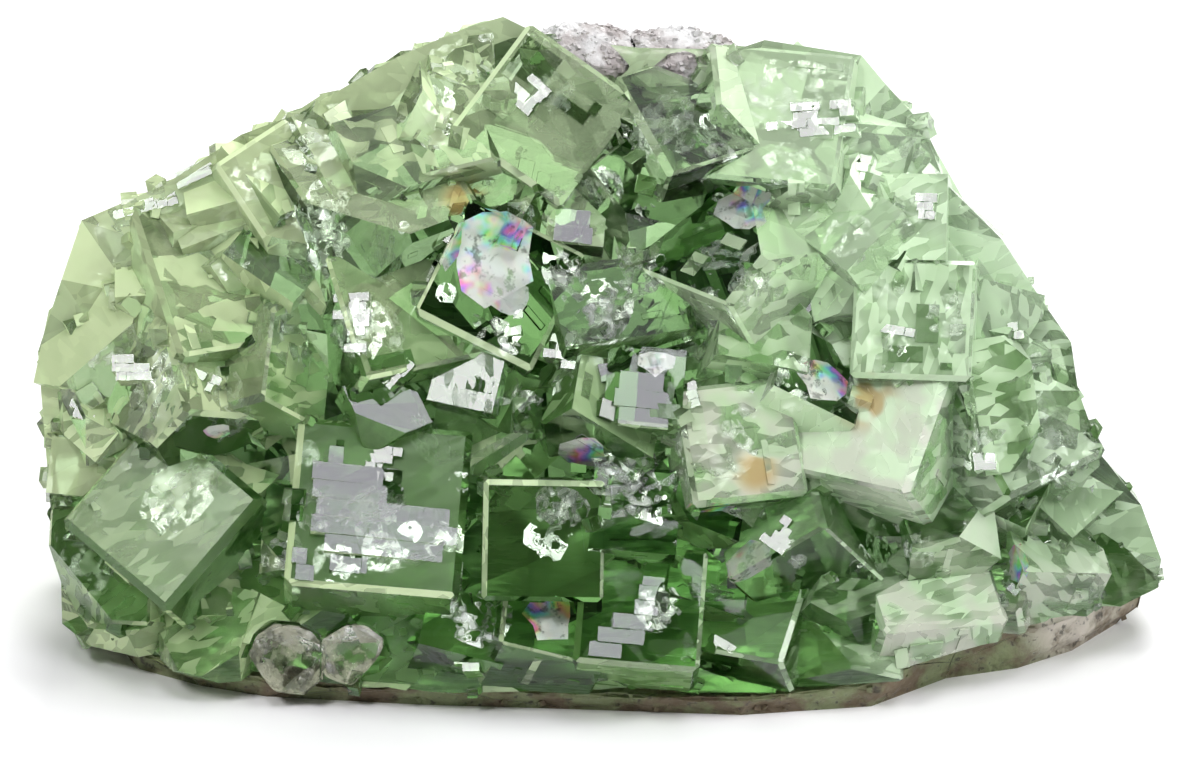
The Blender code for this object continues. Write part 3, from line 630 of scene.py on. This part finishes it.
# The dull faces' cloud, seen through the crystals, is painted shade.
DULL_SHADE_CLOUD = 0.5
CLEAR_SHARE = 0.7
PALE_SHARE = 0.4
PALE_CLOUD = 0.30
CRACK_CLOUD = 0.08
PALE_CRACK_CLOUD = 0.14
PINK_CLOUD = 0.12
RUST_CLOUD = 0.4
CALM_CLOUD = 0.12
MOST_CLOUD = 0.72
CLEAR_ROUGHNESS = (0.5, 0.9, 0.0, 0.22)  # from and to these finishes: from and to this roughness
CLOUDY_ROUGHNESS = (0.0, 1.0, 0.04, 0.35)
CRACK_ROUGHNESS = 0.10


def as_seen(place):
    """The place as the camera sees it: across and up."""
    axes = place.node("ShaderNodeSeparateXYZ", None, i0=place)
    up = axes.other(2) * math.cos(LOOK_DOWN) + axes.other(1) * math.sin(LOOK_DOWN)
    return axes.node("ShaderNodeCombineXYZ", None, X=axes, Y=up)


def spots(seen, places):
    """1 at places given as they are seen, in millimetres, falling to 0 at a radius around each."""
    most = None
    for across, up, radius in places:
        centre = (across * MM, up * MM, 0.0)
        distance = seen.node("ShaderNodeVectorMath", {"operation": "DISTANCE"}, output=1, i0=seen, i1=centre)
        spot = distance.step(radius * MM, SPOT_CORE * radius * MM)
        most = spot if most is None else most.math("MAXIMUM", spot)
    return most


fluorite_look, shader, place = new_look("fluorite")
seen = as_seen(place)
satin = place.node("ShaderNodeAttribute", {"attribute_name": "finish"}, output=2)
milk_and_light = place.node("ShaderNodeAttribute", {"attribute_name": "milky_and_lit"}, output=2)
clean = 1 - place.node("ShaderNodeAttribute", {"attribute_name": "mirror"}, output=2)
clean = clean.math("MINIMUM", 1 - spots(seen, CLEAR_WINDOWS))
crust = place.node("ShaderNodeAttribute", {"attribute_name": "crust"}, output=2)
lively = 1 - place.node("ShaderNodeAttribute", {"attribute_name": "calm"}, output=2) * CALM
lively = lively.math("MAXIMUM", crust)
patch = place.noise(*PATCHES)
turned = place.node("ShaderNodeVectorRotate", None, i0=place, Axis=SHARD_AXIS, Angle=satin * SHARD_TURN)
stretched = turned.node("ShaderNodeVectorMath", {"operation": "MULTIPLY"}, i0=turned, i1=SHARDS)
shards = stretched.node("ShaderNodeTexVoronoi", None, output=1, Vector=stretched, Scale=1.0)
shard = shards.node("ShaderNodeSeparateColor", None, i0=shards)
cracked = (shard * SHARD_CRACKS + patch * PATCH_CRACKS + crust * CRUST_CRACKS).step(*CRACKED) * lively
# Pale where the crystals are lit through from behind, as painted light, and dark deep green where shaded, as
# painted shade; their own cloudiness and random tone count too.
pale = (milk_and_light + (patch * PATCH_MILK + shard * SHARD_MILK - 0.5) * lively).step(0.0, 1.0)
rust = spots(seen, RUST_STAINS) * patch.step(*RUSTED)
pink = crust * patch.step(*CRUSTED)
end_to_end = place.node("ShaderNodeSeparateXYZ", None, i0=place).step(*ENDS)
cloud_colour = pale.mix(CLOUD_SHADED_GREEN, end_to_end.mix(PALE_LEFT, PALE_RIGHT))
cloud_colour = (pink * STAINED).mix(cloud_colour, CLOUD_PINK)
cloud_colour = (rust * STAINED).mix(cloud_colour, RUST)
worn = satin.step(*WORN_FROM) * (WORN_CLOUD + cracked * WORN_CRACK_CLOUD)
worn = worn + satin.step(*DULL_FROM) * DULL_SHADE_CLOUD
cloud = worn * (CLEAR_SHARE + pale * PALE_SHARE) + pale * PALE_CLOUD
cloud = cloud + cracked * (CRACK_CLOUD + pale * PALE_CRACK_CLOUD)
cloud = cloud + pink * PINK_CLOUD + rust * RUST_CLOUD + (1 - lively) * CALM_CLOUD
cloud = cloud.math("MAXIMUM", 0.0).math("MINIMUM", MOST_CLOUD) * clean
shader.inputs["Transmission Weight"].default_value = 1.0
shader.inputs["IOR"].default_value = FLUORITE_IOR
shader.inputs["Base Color"].default_value = CLEAR_TINT
((satin.step(*CLEAR_ROUGHNESS) + cracked * CRACK_ROUGHNESS) * clean).feeds(shader, "Roughness")
plain = place.node("ShaderNodeNewGeometry", None, output=1)
tilt = satin.step(*SHARD_TILT) * clean * lively
lean = shards.node("ShaderNodeVectorMath", {"operation": "SUBTRACT"}, i0=shards, i1=(0.5, 0.5, 0.5))
lean = lean.node("ShaderNodeVectorMath", {"operation": "SCALE"}, i0=lean, Scale=tilt)
leaning = plain.node("ShaderNodeVectorMath", {"operation": "ADD"}, i0=plain, i1=lean)
leaning = leaning.node("ShaderNodeVectorMath", {"operation": "NORMALIZE"}, i0=leaning)
leaning.feeds(shader, "Normal")
cloudy = shader.id_data.nodes.new("ShaderNodeBsdfPrincipled")
cloudy.inputs["IOR"].default_value = FLUORITE_IOR
cloud_colour.feeds(cloudy, "Base Color")
satin.step(*CLOUDY_ROUGHNESS).feeds(cloudy, "Roughness")
leaning.feeds(cloudy, "Normal")
clear_surface = Socket(shader.id_data, shader.outputs[0])
cloudy_surface = Socket(shader.id_data, cloudy.outputs[0])
output = shader.id_data.nodes["Material Output"]
surface = clear_surface.node("ShaderNodeMixShader", None, i0=cloud, i1=clear_surface, i2=cloudy_surface)
surface.feeds(output, "Surface")
inner = surface.node("ShaderNodeVolumeAbsorption", None, Color=GREEN_DEPTH, Density=GREEN_DENSITY)
inner.feeds(output, "Volume")
fluorite_mesh.materials.clear()
fluorite_mesh.materials.append(fluorite_look)
fluorite_mesh.shade_flat()
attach(fluorite, "root")
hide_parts("fluorite_crystals")

# The cracks inside the crystals: thin cleavage films of air in the fluorite. They lie at all
# angles, and those that mirror a lamp catch its light as white wisps.
shape = bmesh.new()
shape.from_mesh(fluorite_mesh)
solid_tree = BVHTree.FromBMesh(shape)
shape.free()
FILMS = 280
FILM_RADIUS = (0.9 * MM, 5.0 * MM)
FILM_SIDES = 11
FILM_RINGS = (0.5, 1.0)  # of its radius
FILM_SWAY = 9  # how far apart the waves of two films may be
FILM_UNDER = 0.2 * MM  # a film stays this far under the surface
FILM_BEND = 0.5 * MM
FILM_DEPTH = (0.5, 5.5)  # millimetres behind the display side
FILM_REACH = (0.65, 1.0)  # of its radius, from corner to corner
FILM_TRIES = 6  # a corner that sticks out is drawn in so often, each time to this share
FILM_DRAWN_IN = 0.7
FILM_WAVES = 150  # to the metre


def is_inside(point):
    """True if a point is well inside the crystals."""
    near, normal, _, distance = solid_tree.find_nearest(point)
    return distance > FILM_UNDER and (point - near).dot(normal) < 0


def film(shape, centre, normal, radius):
    """An uneven sheet inside the crystals, as large as fits up to a radius."""
    first = normal.orthogonal().normalized()
    second = normal.cross(first)
    sway = Vector((luck.uniform(0, FILM_SWAY), 0, 0))
    rings = []
    for share in FILM_RINGS:
        ring = []
        for k in range(FILM_SIDES):
            angle = 2 * math.pi * k / FILM_SIDES
            heading = first * math.cos(angle) + second * math.sin(angle)
            reach = radius * share * luck.uniform(*FILM_REACH)
            for _ in range(FILM_TRIES):
                point = centre + heading * reach
                point += normal * noise.noise(point * FILM_WAVES + sway) * FILM_BEND
                if is_inside(point):
                    break
                reach *= FILM_DRAWN_IN
            ring.append(point)
        rings.append(ring)
    if not all(is_inside(point) for point in rings[0] + rings[1] + [centre]):
        return
    hub = shape.verts.new(centre)
    inner = [shape.verts.new(point) for point in rings[0]]
    outer = [shape.verts.new(point) for point in rings[1]]
    for k in range(FILM_SIDES):
        after = (k + 1) % FILM_SIDES
        shape.faces.new((hub, inner[k], inner[after]))
        shape.faces.new((inner[k], outer[k], outer[after], inner[after]))


def piece_from(name, shape, look, node=None):
    """Makes a piece of the scene from a shape, in the root's frame."""
    mesh = bpy.data.meshes.new(name)
    shape.to_mesh(mesh)
    shape.free()
    mesh.materials.clear()
    mesh.materials.append(look)
    mesh.shade_flat()
    piece = bpy.data.objects.new(name, mesh)
    bpy.context.scene.collection.objects.link(piece)
    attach(piece, "root")
    if node:
        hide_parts(node)


# The brightest films, which throw the window's light straight back: across, up and radius in
# millimetres. They lie deeper the larger they are.
BRIGHT_FILMS = (
    (17.3, 34.6, 4.4), (25.7, 39.3, 3.6), (-25.2, 29.8, 4.2), (10.5, 31.4, 3.4), (29.9, 28.3, 3.6),
    (-4.2, 36.2, 2.6), (-10.5, 28.3, 3.2), (1.0, 32.5, 3.2), (20.0, 54.5, 5.0), (26.2, 55.0, 4.0),
    (-43.6, 12.0, 4.4), (-45.0, 25.1, 3.2), (-8.4, 22.5, 3.2), (12.6, 17.2, 4.2), (-45.0, 44.5, 4.0),
    (21.0, 24.6, 4.0), (-30.0, 49.0, 4.0), (38.0, 17.0, 3.6), (-20.0, 44.0, 3.4), (5.0, 12.0, 3.0),
)
BRIGHT_DEPTH = 0.45  # of a film's radius
# The others lie anywhere behind these places, in millimetres across, ahead and up.
FILM_PLACES = ((-56, 56), (-12, 14), (4, 62))
FILM_HEADING = 0.3  # how far off the line of sight they are looked for
FILM_RAY = 0.15  # metres, from outside the specimen
MIRRORING = 0.45  # the share that roughly mirror a lamp
MIRRORING_OFF = 0.15
MOSTLY_NARROW = 1.7  # the power that makes small films the commonest
FILM_LAYERS = (1, 1, 2, 3)
LAYER_GAP = (0.3, 0.9)  # millimetres
LAYER_SIZE = (0.6, 1.0)
FILM_SILVER = (0.94, 0.98, 0.95, 1)
FILM_METALLIC = 0.75
WISPS = (700.0, 1.0, 0.75)
THREADS = (0.04, 0.0)  # how near to the noise's middle the film is a thread
PLATES = (0.53, 0.57)  # and above what it is a plate
VEIL = 0.9  # how opaque these are, and how opaque they are at most together
THICKEST_VEIL = 0.92
FILM_ROUGHNESS = (0.3, 0.7, 0.08, 0.3)
films = bmesh.new()
for across, up, radius in BRIGHT_FILMS:
    hit, normal, _ = seen_on(across, up)
    centre = hit - to_camera * (BRIGHT_DEPTH * radius * MM)
    film(films, centre, throws_back_inside(centre, normal, window_lamp), radius * MM)
for _ in range(FILMS):
    heading = (to_camera + any_heading() * FILM_HEADING).normalized()
    target = Vector([luck.uniform(*span) for span in FILM_PLACES]) * MM
    hit, normal, _, _ = solid_tree.ray_cast(target + heading * FILM_RAY, -heading)
    if hit is None:
        continue
    centre = hit - heading * luck.uniform(*FILM_DEPTH) * MM
    lie = any_heading()
    if luck.random() < MIRRORING:
        lamp = luck.choice((front_lamp, window_lamp))
        lie = (throws_back_inside(centre, normal, lamp) + any_heading() * MIRRORING_OFF).normalized()
    radius = FILM_RADIUS[0] + (FILM_RADIUS[1] - FILM_RADIUS[0]) * luck.random() ** MOSTLY_NARROW
    for k in range(luck.choice(FILM_LAYERS)):
        layer = centre + lie * (k * luck.uniform(*LAYER_GAP) * MM)
        film(films, layer, lie, radius * luck.uniform(*LAYER_SIZE))
film_look, shader, place = new_look("cleavage_film")
shader.inputs["Base Color"].default_value = FILM_SILVER
shader.inputs["Metallic"].default_value = FILM_METALLIC
wisp = place.noise(*WISPS)
veil = (wisp - 0.5).math("ABSOLUTE").step(*THREADS) * VEIL + wisp.step(*PLATES) * VEIL
veil.math("MINIMUM", THICKEST_VEIL).feeds(shader, "Alpha")
wisp.step(*FILM_ROUGHNESS).feeds(shader, "Roughness")
piece_from("cleavage_films", films, film_look)

# The rainbow cracks: films of air in the crystals, so thin that they break the light into colours.
# They lie close under clean faces and lean a little towards the window's light.
ALONG_FACE = 2.5  # how much more their face's heading counts than the lamp's
RAINBOW_WAVES = (130.0, 3.0, 0.6)
RAINBOWS = 5.0  # turns of the hue from end to end of the noise
STRENGTHS = 300.0  # to the metre
WHITENED = (0.45, 0.62, 0.03, 0.7)  # from and to these noises, their colour's strength from and to
HOLES = (500.0, 3.0, 0.7)
HOLE_VEIL = (0.36, 0.48, 0.4, 1.0)
RAINBOW_METALLIC = 0.3
RAINBOW_ROUGHNESS = 0.35
rainbows = bmesh.new()
for across, up, depth, radius in RAINBOW_CRACKS:
    place, normal, _ = seen_on(across, up)
    centre = place - to_camera * (depth * MM) - normal * (depth * MM)
    lie = (throws_back_inside(centre, normal, window_lamp) + normal * ALONG_FACE).normalized()
    film(rainbows, centre, lie, radius * MM)
rainbow_look, shader, place = new_look("rainbow_crack")
hue = (place.noise(*RAINBOW_WAVES) * RAINBOWS).math("FRACT")
strength = place.noise(STRENGTHS).step(*WHITENED)
colour = hue.node("ShaderNodeCombineColor", {"mode": "HSV"}, i0=hue, i1=strength, i2=1.0)
colour.feeds(shader, "Base Color")
shader.inputs["Metallic"].default_value = RAINBOW_METALLIC
shader.inputs["Roughness"].default_value = RAINBOW_ROUGHNESS
place.noise(*HOLES).step(*HOLE_VEIL).feeds(shader, "Alpha")
piece_from("rainbow_cracks", rainbows, rainbow_look)

# The host rock on the ridge: a crust of grey-pink grains, like sugar, on the highest crystals. Its
# shape and the foot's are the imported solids' own, with their faces roughened and grains on them.
RIDGE_GRAINS = 1500
RIDGE_GRAIN_HALF = (0.15 * MM, 0.55 * MM)
RIDGE_SPLIT = 0.7 * MM  # its edges are divided until none is longer
RIDGE_SUNK = 0.35 * MM  # the noise sinks it this deep, in patches so many to the metre
RIDGE_PATCHES = 600
MOST_SPLITS = 8
FOOT_KEPT = 0.05 * MM  # what lies lower than this stays as packed
SUNK_MIDDLE = 0.5  # how much of the depth is sunk on the whole, and how much that varies
SUNK_VARIES = 0.7
SUNK_NOISE = (0.7, 2.1, 4)  # smoothness, step and number of the noise's layers
GRAIN_CORNERS = (0.4, 0.58)  # of a grain's size, so that none is a true box


def rough_copy(node, longest, sunk, often):
    """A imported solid's shape with its faces divided and sunk here and there by noise."""
    shape = bmesh.new()
    shape.from_mesh(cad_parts[node].data)
    for _ in range(MOST_SPLITS):
        long_edges = [edge for edge in shape.edges if edge.calc_length() > longest]
        if not long_edges:
            break
        bmesh.ops.subdivide_edges(shape, edges=long_edges, cuts=1)
        bmesh.ops.triangulate(shape, faces=shape.faces)
    shape.normal_update()
    for vert in shape.verts:
        if vert.co.z > FOOT_KEPT:
            depth = SUNK_MIDDLE + SUNK_VARIES * noise.fractal(vert.co * often, *SUNK_NOISE)
            vert.co -= vert.normal * (sunk * min(1.0, max(0.0, depth)))
    shape.normal_update()
    return shape


def add_grains(shape, count, halves):
    """Small broken blocks that stand out of a shape's surface, within its own box."""
    faces = shape.faces[:]
    weights = [face.calc_area() for face in faces]
    low = Vector([min(vert.co[k] for vert in shape.verts) for k in range(3)])
    high = Vector([max(vert.co[k] for vert in shape.verts) for k in range(3)])
    for face in luck.choices(faces, weights, k=count):
        centre = face.calc_center_median()
        spin = Matrix.Rotation(luck.uniform(0, math.pi), 3, any_heading())
        half = luck.uniform(*halves)
        centre = Vector([min(max(centre[k], low[k] + half), high[k] - half) for k in range(3)])
        corners = []
        for sides in [(x, y, z) for z in (-1, 1) for x, y in SQUARE]:
            offset = Vector([side * half * luck.uniform(*GRAIN_CORNERS) for side in sides])
            corners.append(shape.verts.new(centre + spin @ offset))
        for ring in BOX_SIDES:
            shape.faces.new([corners[k] for k in ring])


RIDGE_PINK = (0.36, 0.33, 0.32, 1)
RIDGE_PALE = (0.58, 0.58, 0.57, 1)
# Painted shade: the grains' hollows, low in the bump, are darkened towards this.
RIDGE_SHADE_COLOUR = (0.22, 0.21, 0.18, 1)
RIDGE_SUGAR = (1300.0, 3.0, 0.6)
RIDGE_CLOUDS = (260.0, 4.0, 0.6)
RIDGE_PALER = (0.35, 0.62)
RIDGE_SHADED_HOLLOWS = (0.42, 0.34)  # the dark between the grains
SHADE_IN_HOLLOWS = 0.8
RIDGE_ROUGHNESS = (0.4, 0.6, 0.25, 0.7)
ROCK_BUMP = 0.6
RIDGE_BUMP_DEPTH = 0.0003  # metres
ridge_look, shader, place = new_look("ridge_rock")
grains = place.noise(*RIDGE_SUGAR)
colour = place.noise(*RIDGE_CLOUDS).step(*RIDGE_PALER).mix(RIDGE_PINK, RIDGE_PALE)
# Painted shade in the hollows between the grains.
(grains.step(*RIDGE_SHADED_HOLLOWS) * SHADE_IN_HOLLOWS).mix(colour, RIDGE_SHADE_COLOUR).feeds(shader, "Base Color")
grains.step(*RIDGE_ROUGHNESS).feeds(shader, "Roughness")
bump = place.node("ShaderNodeBump", None, Strength=ROCK_BUMP, Distance=RIDGE_BUMP_DEPTH, Height=grains)
bump.feeds(shader, "Normal")
ridge = rough_copy("matrix_ridge", RIDGE_SPLIT, RIDGE_SUNK, RIDGE_PATCHES)
add_grains(ridge, RIDGE_GRAINS, RIDGE_GRAIN_HALF)
piece_from("ridge_rock", ridge, ridge_look, "matrix_ridge")

# The host rock under the crystals: brown to olive stone with a pale crust at the right end, broken
# flat underneath.
FOOT_BROWN = (0.17, 0.13, 0.08, 1)
FOOT_OLIVE = (0.24, 0.28, 0.14, 1)
FOOT_PALE = (0.66, 0.60, 0.52, 1)
# Painted shade: the foot's fine hollows, low in the bump, are darkened towards this.
FOOT_SHADE_COLOUR = (0.05, 0.045, 0.03, 1)
FOOT_CRUST = ((50, 0, 8),)
FOOT_LUMPS = (140.0, 5.0, 0.65)
FOOT_FINE = (900.0, 3.0, 0.6)
FOOT_GREENER = (0.42, 0.58)
FOOT_CRUSTED = (0.36, 0.56)
FOOT_SHADED_HOLLOWS = (0.42, 0.32)
FOOT_ROUGHNESS = (0.4, 0.6, 0.45, 0.85)
FOOT_BUMP_DEPTH = 0.0004  # metres
FOOT_GRAINS = 900
FOOT_GRAIN_HALF = (0.2 * MM, 0.7 * MM)
FOOT_SPLIT = 1.3 * MM
FOOT_SUNK = 0.45 * MM
FOOT_PATCHES = 350
foot_look, shader, place = new_look("foot_rock")
seen = as_seen(place)
lumps = place.noise(*FOOT_LUMPS)
fine = place.noise(*FOOT_FINE)
colour = lumps.step(*FOOT_GREENER).mix(FOOT_BROWN, FOOT_OLIVE)
colour = (spots(seen, FOOT_CRUST) * lumps.step(*FOOT_CRUSTED)).mix(colour, FOOT_PALE)
# Painted shade in the hollows between the grains.
(fine.step(*FOOT_SHADED_HOLLOWS) * SHADE_IN_HOLLOWS).mix(colour, FOOT_SHADE_COLOUR).feeds(shader, "Base Color")
fine.step(*FOOT_ROUGHNESS).feeds(shader, "Roughness")
height = fine + lumps * 2
bump = place.node("ShaderNodeBump", None, Strength=ROCK_BUMP, Distance=FOOT_BUMP_DEPTH, Height=height)
bump.feeds(shader, "Normal")
foot = rough_copy("matrix_foot", FOOT_SPLIT, FOOT_SUNK, FOOT_PATCHES)
add_grains(foot, FOOT_GRAINS, FOOT_GRAIN_HALF)
piece_from("foot_rock", foot, foot_look, "matrix_foot")

# The two quartz crystals at the foot, grown together: worn, pale beige and half clear. Each is its
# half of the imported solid, cut to flat sides of its own.
QUARTZ_IOR = 1.544
QUARTZ_TINT = (0.95, 0.93, 0.87, 1)
# The cloudy quartz's beige in a lit and a shaded copy, paler on the bump's rises and darker in its hollows:
# painted light and shade.
QUARTZ_LIT_CLOUD = (0.62, 0.63, 0.47, 1)
QUARTZ_SHADED_CLOUD = (0.33, 0.35, 0.22, 1)
QUARTZ_DEPTH = (0.72, 0.70, 0.52, 1)
QUARTZ_DENSITY = 60.0
QUARTZ_ROUGHNESS = 0.3
QUARTZ_WISPS = (330.0, 4.0, 0.65)
QUARTZ_FINE = (1400.0, 2.0, 0.6)
QUARTZ_CLEAR_ROUGHNESS = (0.45, 0.65, 0.05, 0.35)
QUARTZ_LIT_WISPS = (0.40, 0.56)
QUARTZ_CLOUDED = (0.44, 0.58, 0.15, 0.70)
QUARTZ_BUMP = 0.3
QUARTZ_BUMP_DEPTH = 0.0004  # metres
QUARTZ_SPLIT = 1.2 * MM
QUARTZ_SUNK = 0.05 * MM
QUARTZ_PATCHES = 300
# Each crystal's flat sides: each faces so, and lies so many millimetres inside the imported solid.
QUARTZ_CUTS = (
    (
        (0.75, -0.45, 0.5, 1.9), (-0.8, -0.4, -0.45, 1.2), (-0.7, -0.3, 0.65, 1.4), (-0.15, -1.0, 0.25, 1.3),
        (0.45, -0.8, -0.3, 0.8), (0.1, -0.5, 0.9, 0.8), (0.0, -0.7, -0.7, 0.7),
    ),
    (
        (-0.85, -0.45, 0.3, 1.9), (0.75, -0.5, -0.4, 2.1), (0.5, -0.3, 0.8, 1.3), (-0.35, -0.95, -0.05, 0.8),
        (0.3, -0.9, 0.3, 1.2), (-0.5, 0.0, 0.85, 0.8), (-0.2, -0.6, -0.75, 0.7),
    ),
)
QUARTZ_SEAM = -29.0 * MM  # where they touch
QUARTZ_GAP = 0.05 * MM
quartz_look, shader, place = new_look("quartz")
wisps = place.noise(*QUARTZ_WISPS)
fine = place.noise(*QUARTZ_FINE)
shader.inputs["Transmission Weight"].default_value = 1.0
shader.inputs["IOR"].default_value = QUARTZ_IOR
shader.inputs["Base Color"].default_value = QUARTZ_TINT
wisps.step(*QUARTZ_CLEAR_ROUGHNESS).feeds(shader, "Roughness")
height = wisps * 2 + fine
bump = place.node("ShaderNodeBump", None, Strength=QUARTZ_BUMP, Distance=QUARTZ_BUMP_DEPTH, Height=height)
bump.feeds(shader, "Normal")
cloudy = shader.id_data.nodes.new("ShaderNodeBsdfPrincipled")
cloudy.inputs["IOR"].default_value = QUARTZ_IOR
# Painted light and shade: the wisps mix the shaded and the lit beige.
wisps.step(*QUARTZ_LIT_WISPS).mix(QUARTZ_SHADED_CLOUD, QUARTZ_LIT_CLOUD).feeds(cloudy, "Base Color")
cloudy.inputs["Roughness"].default_value = QUARTZ_ROUGHNESS
bump.feeds(cloudy, "Normal")
clear_surface = Socket(shader.id_data, shader.outputs[0])
cloudy_surface = Socket(shader.id_data, cloudy.outputs[0])
output = shader.id_data.nodes["Material Output"]
cloud = wisps.step(*QUARTZ_CLOUDED)
surface = clear_surface.node("ShaderNodeMixShader", None, i0=cloud, i1=clear_surface, i2=cloudy_surface)
surface.feeds(output, "Surface")
inner = cloud.node("ShaderNodeVolumeAbsorption", None, Color=QUARTZ_DEPTH, Density=QUARTZ_DENSITY)
inner.feeds(output, "Volume")


CUT_WITHIN = 1e-7


def cut_flat(shape, out, far):
    """Takes off what lies farther out than a plane, and closes the shape there."""
    parts = shape.verts[:] + shape.edges[:] + shape.faces[:]
    plane = dict(plane_co=out * far, plane_no=out)
    cut = bmesh.ops.bisect_plane(shape, geom=parts, dist=CUT_WITHIN, clear_outer=True, **plane)
    rim = [item for item in cut["geom_cut"] if isinstance(item, bmesh.types.BMEdge)]
    bmesh.ops.edgeloop_fill(shape, edges=rim)


quartz = bmesh.new()
for side, cuts in zip((1, -1), QUARTZ_CUTS):
    crystal = rough_copy("quartz_crystals", QUARTZ_SPLIT, QUARTZ_SUNK, QUARTZ_PATCHES)
    cut_flat(crystal, Vector((side, 0, 0)), side * QUARTZ_SEAM - QUARTZ_GAP)
    for across, ahead, up, inward in cuts:
        out = Vector((across, ahead, up)).normalized()
        cut_flat(crystal, out, max(vert.co.dot(out) for vert in crystal.verts) - inward * MM)
    mesh = bpy.data.meshes.new("crystal")
    crystal.to_mesh(mesh)
    crystal.free()
    quartz.from_mesh(mesh)
piece_from("quartz", quartz, quartz_look, "quartz_crystals")
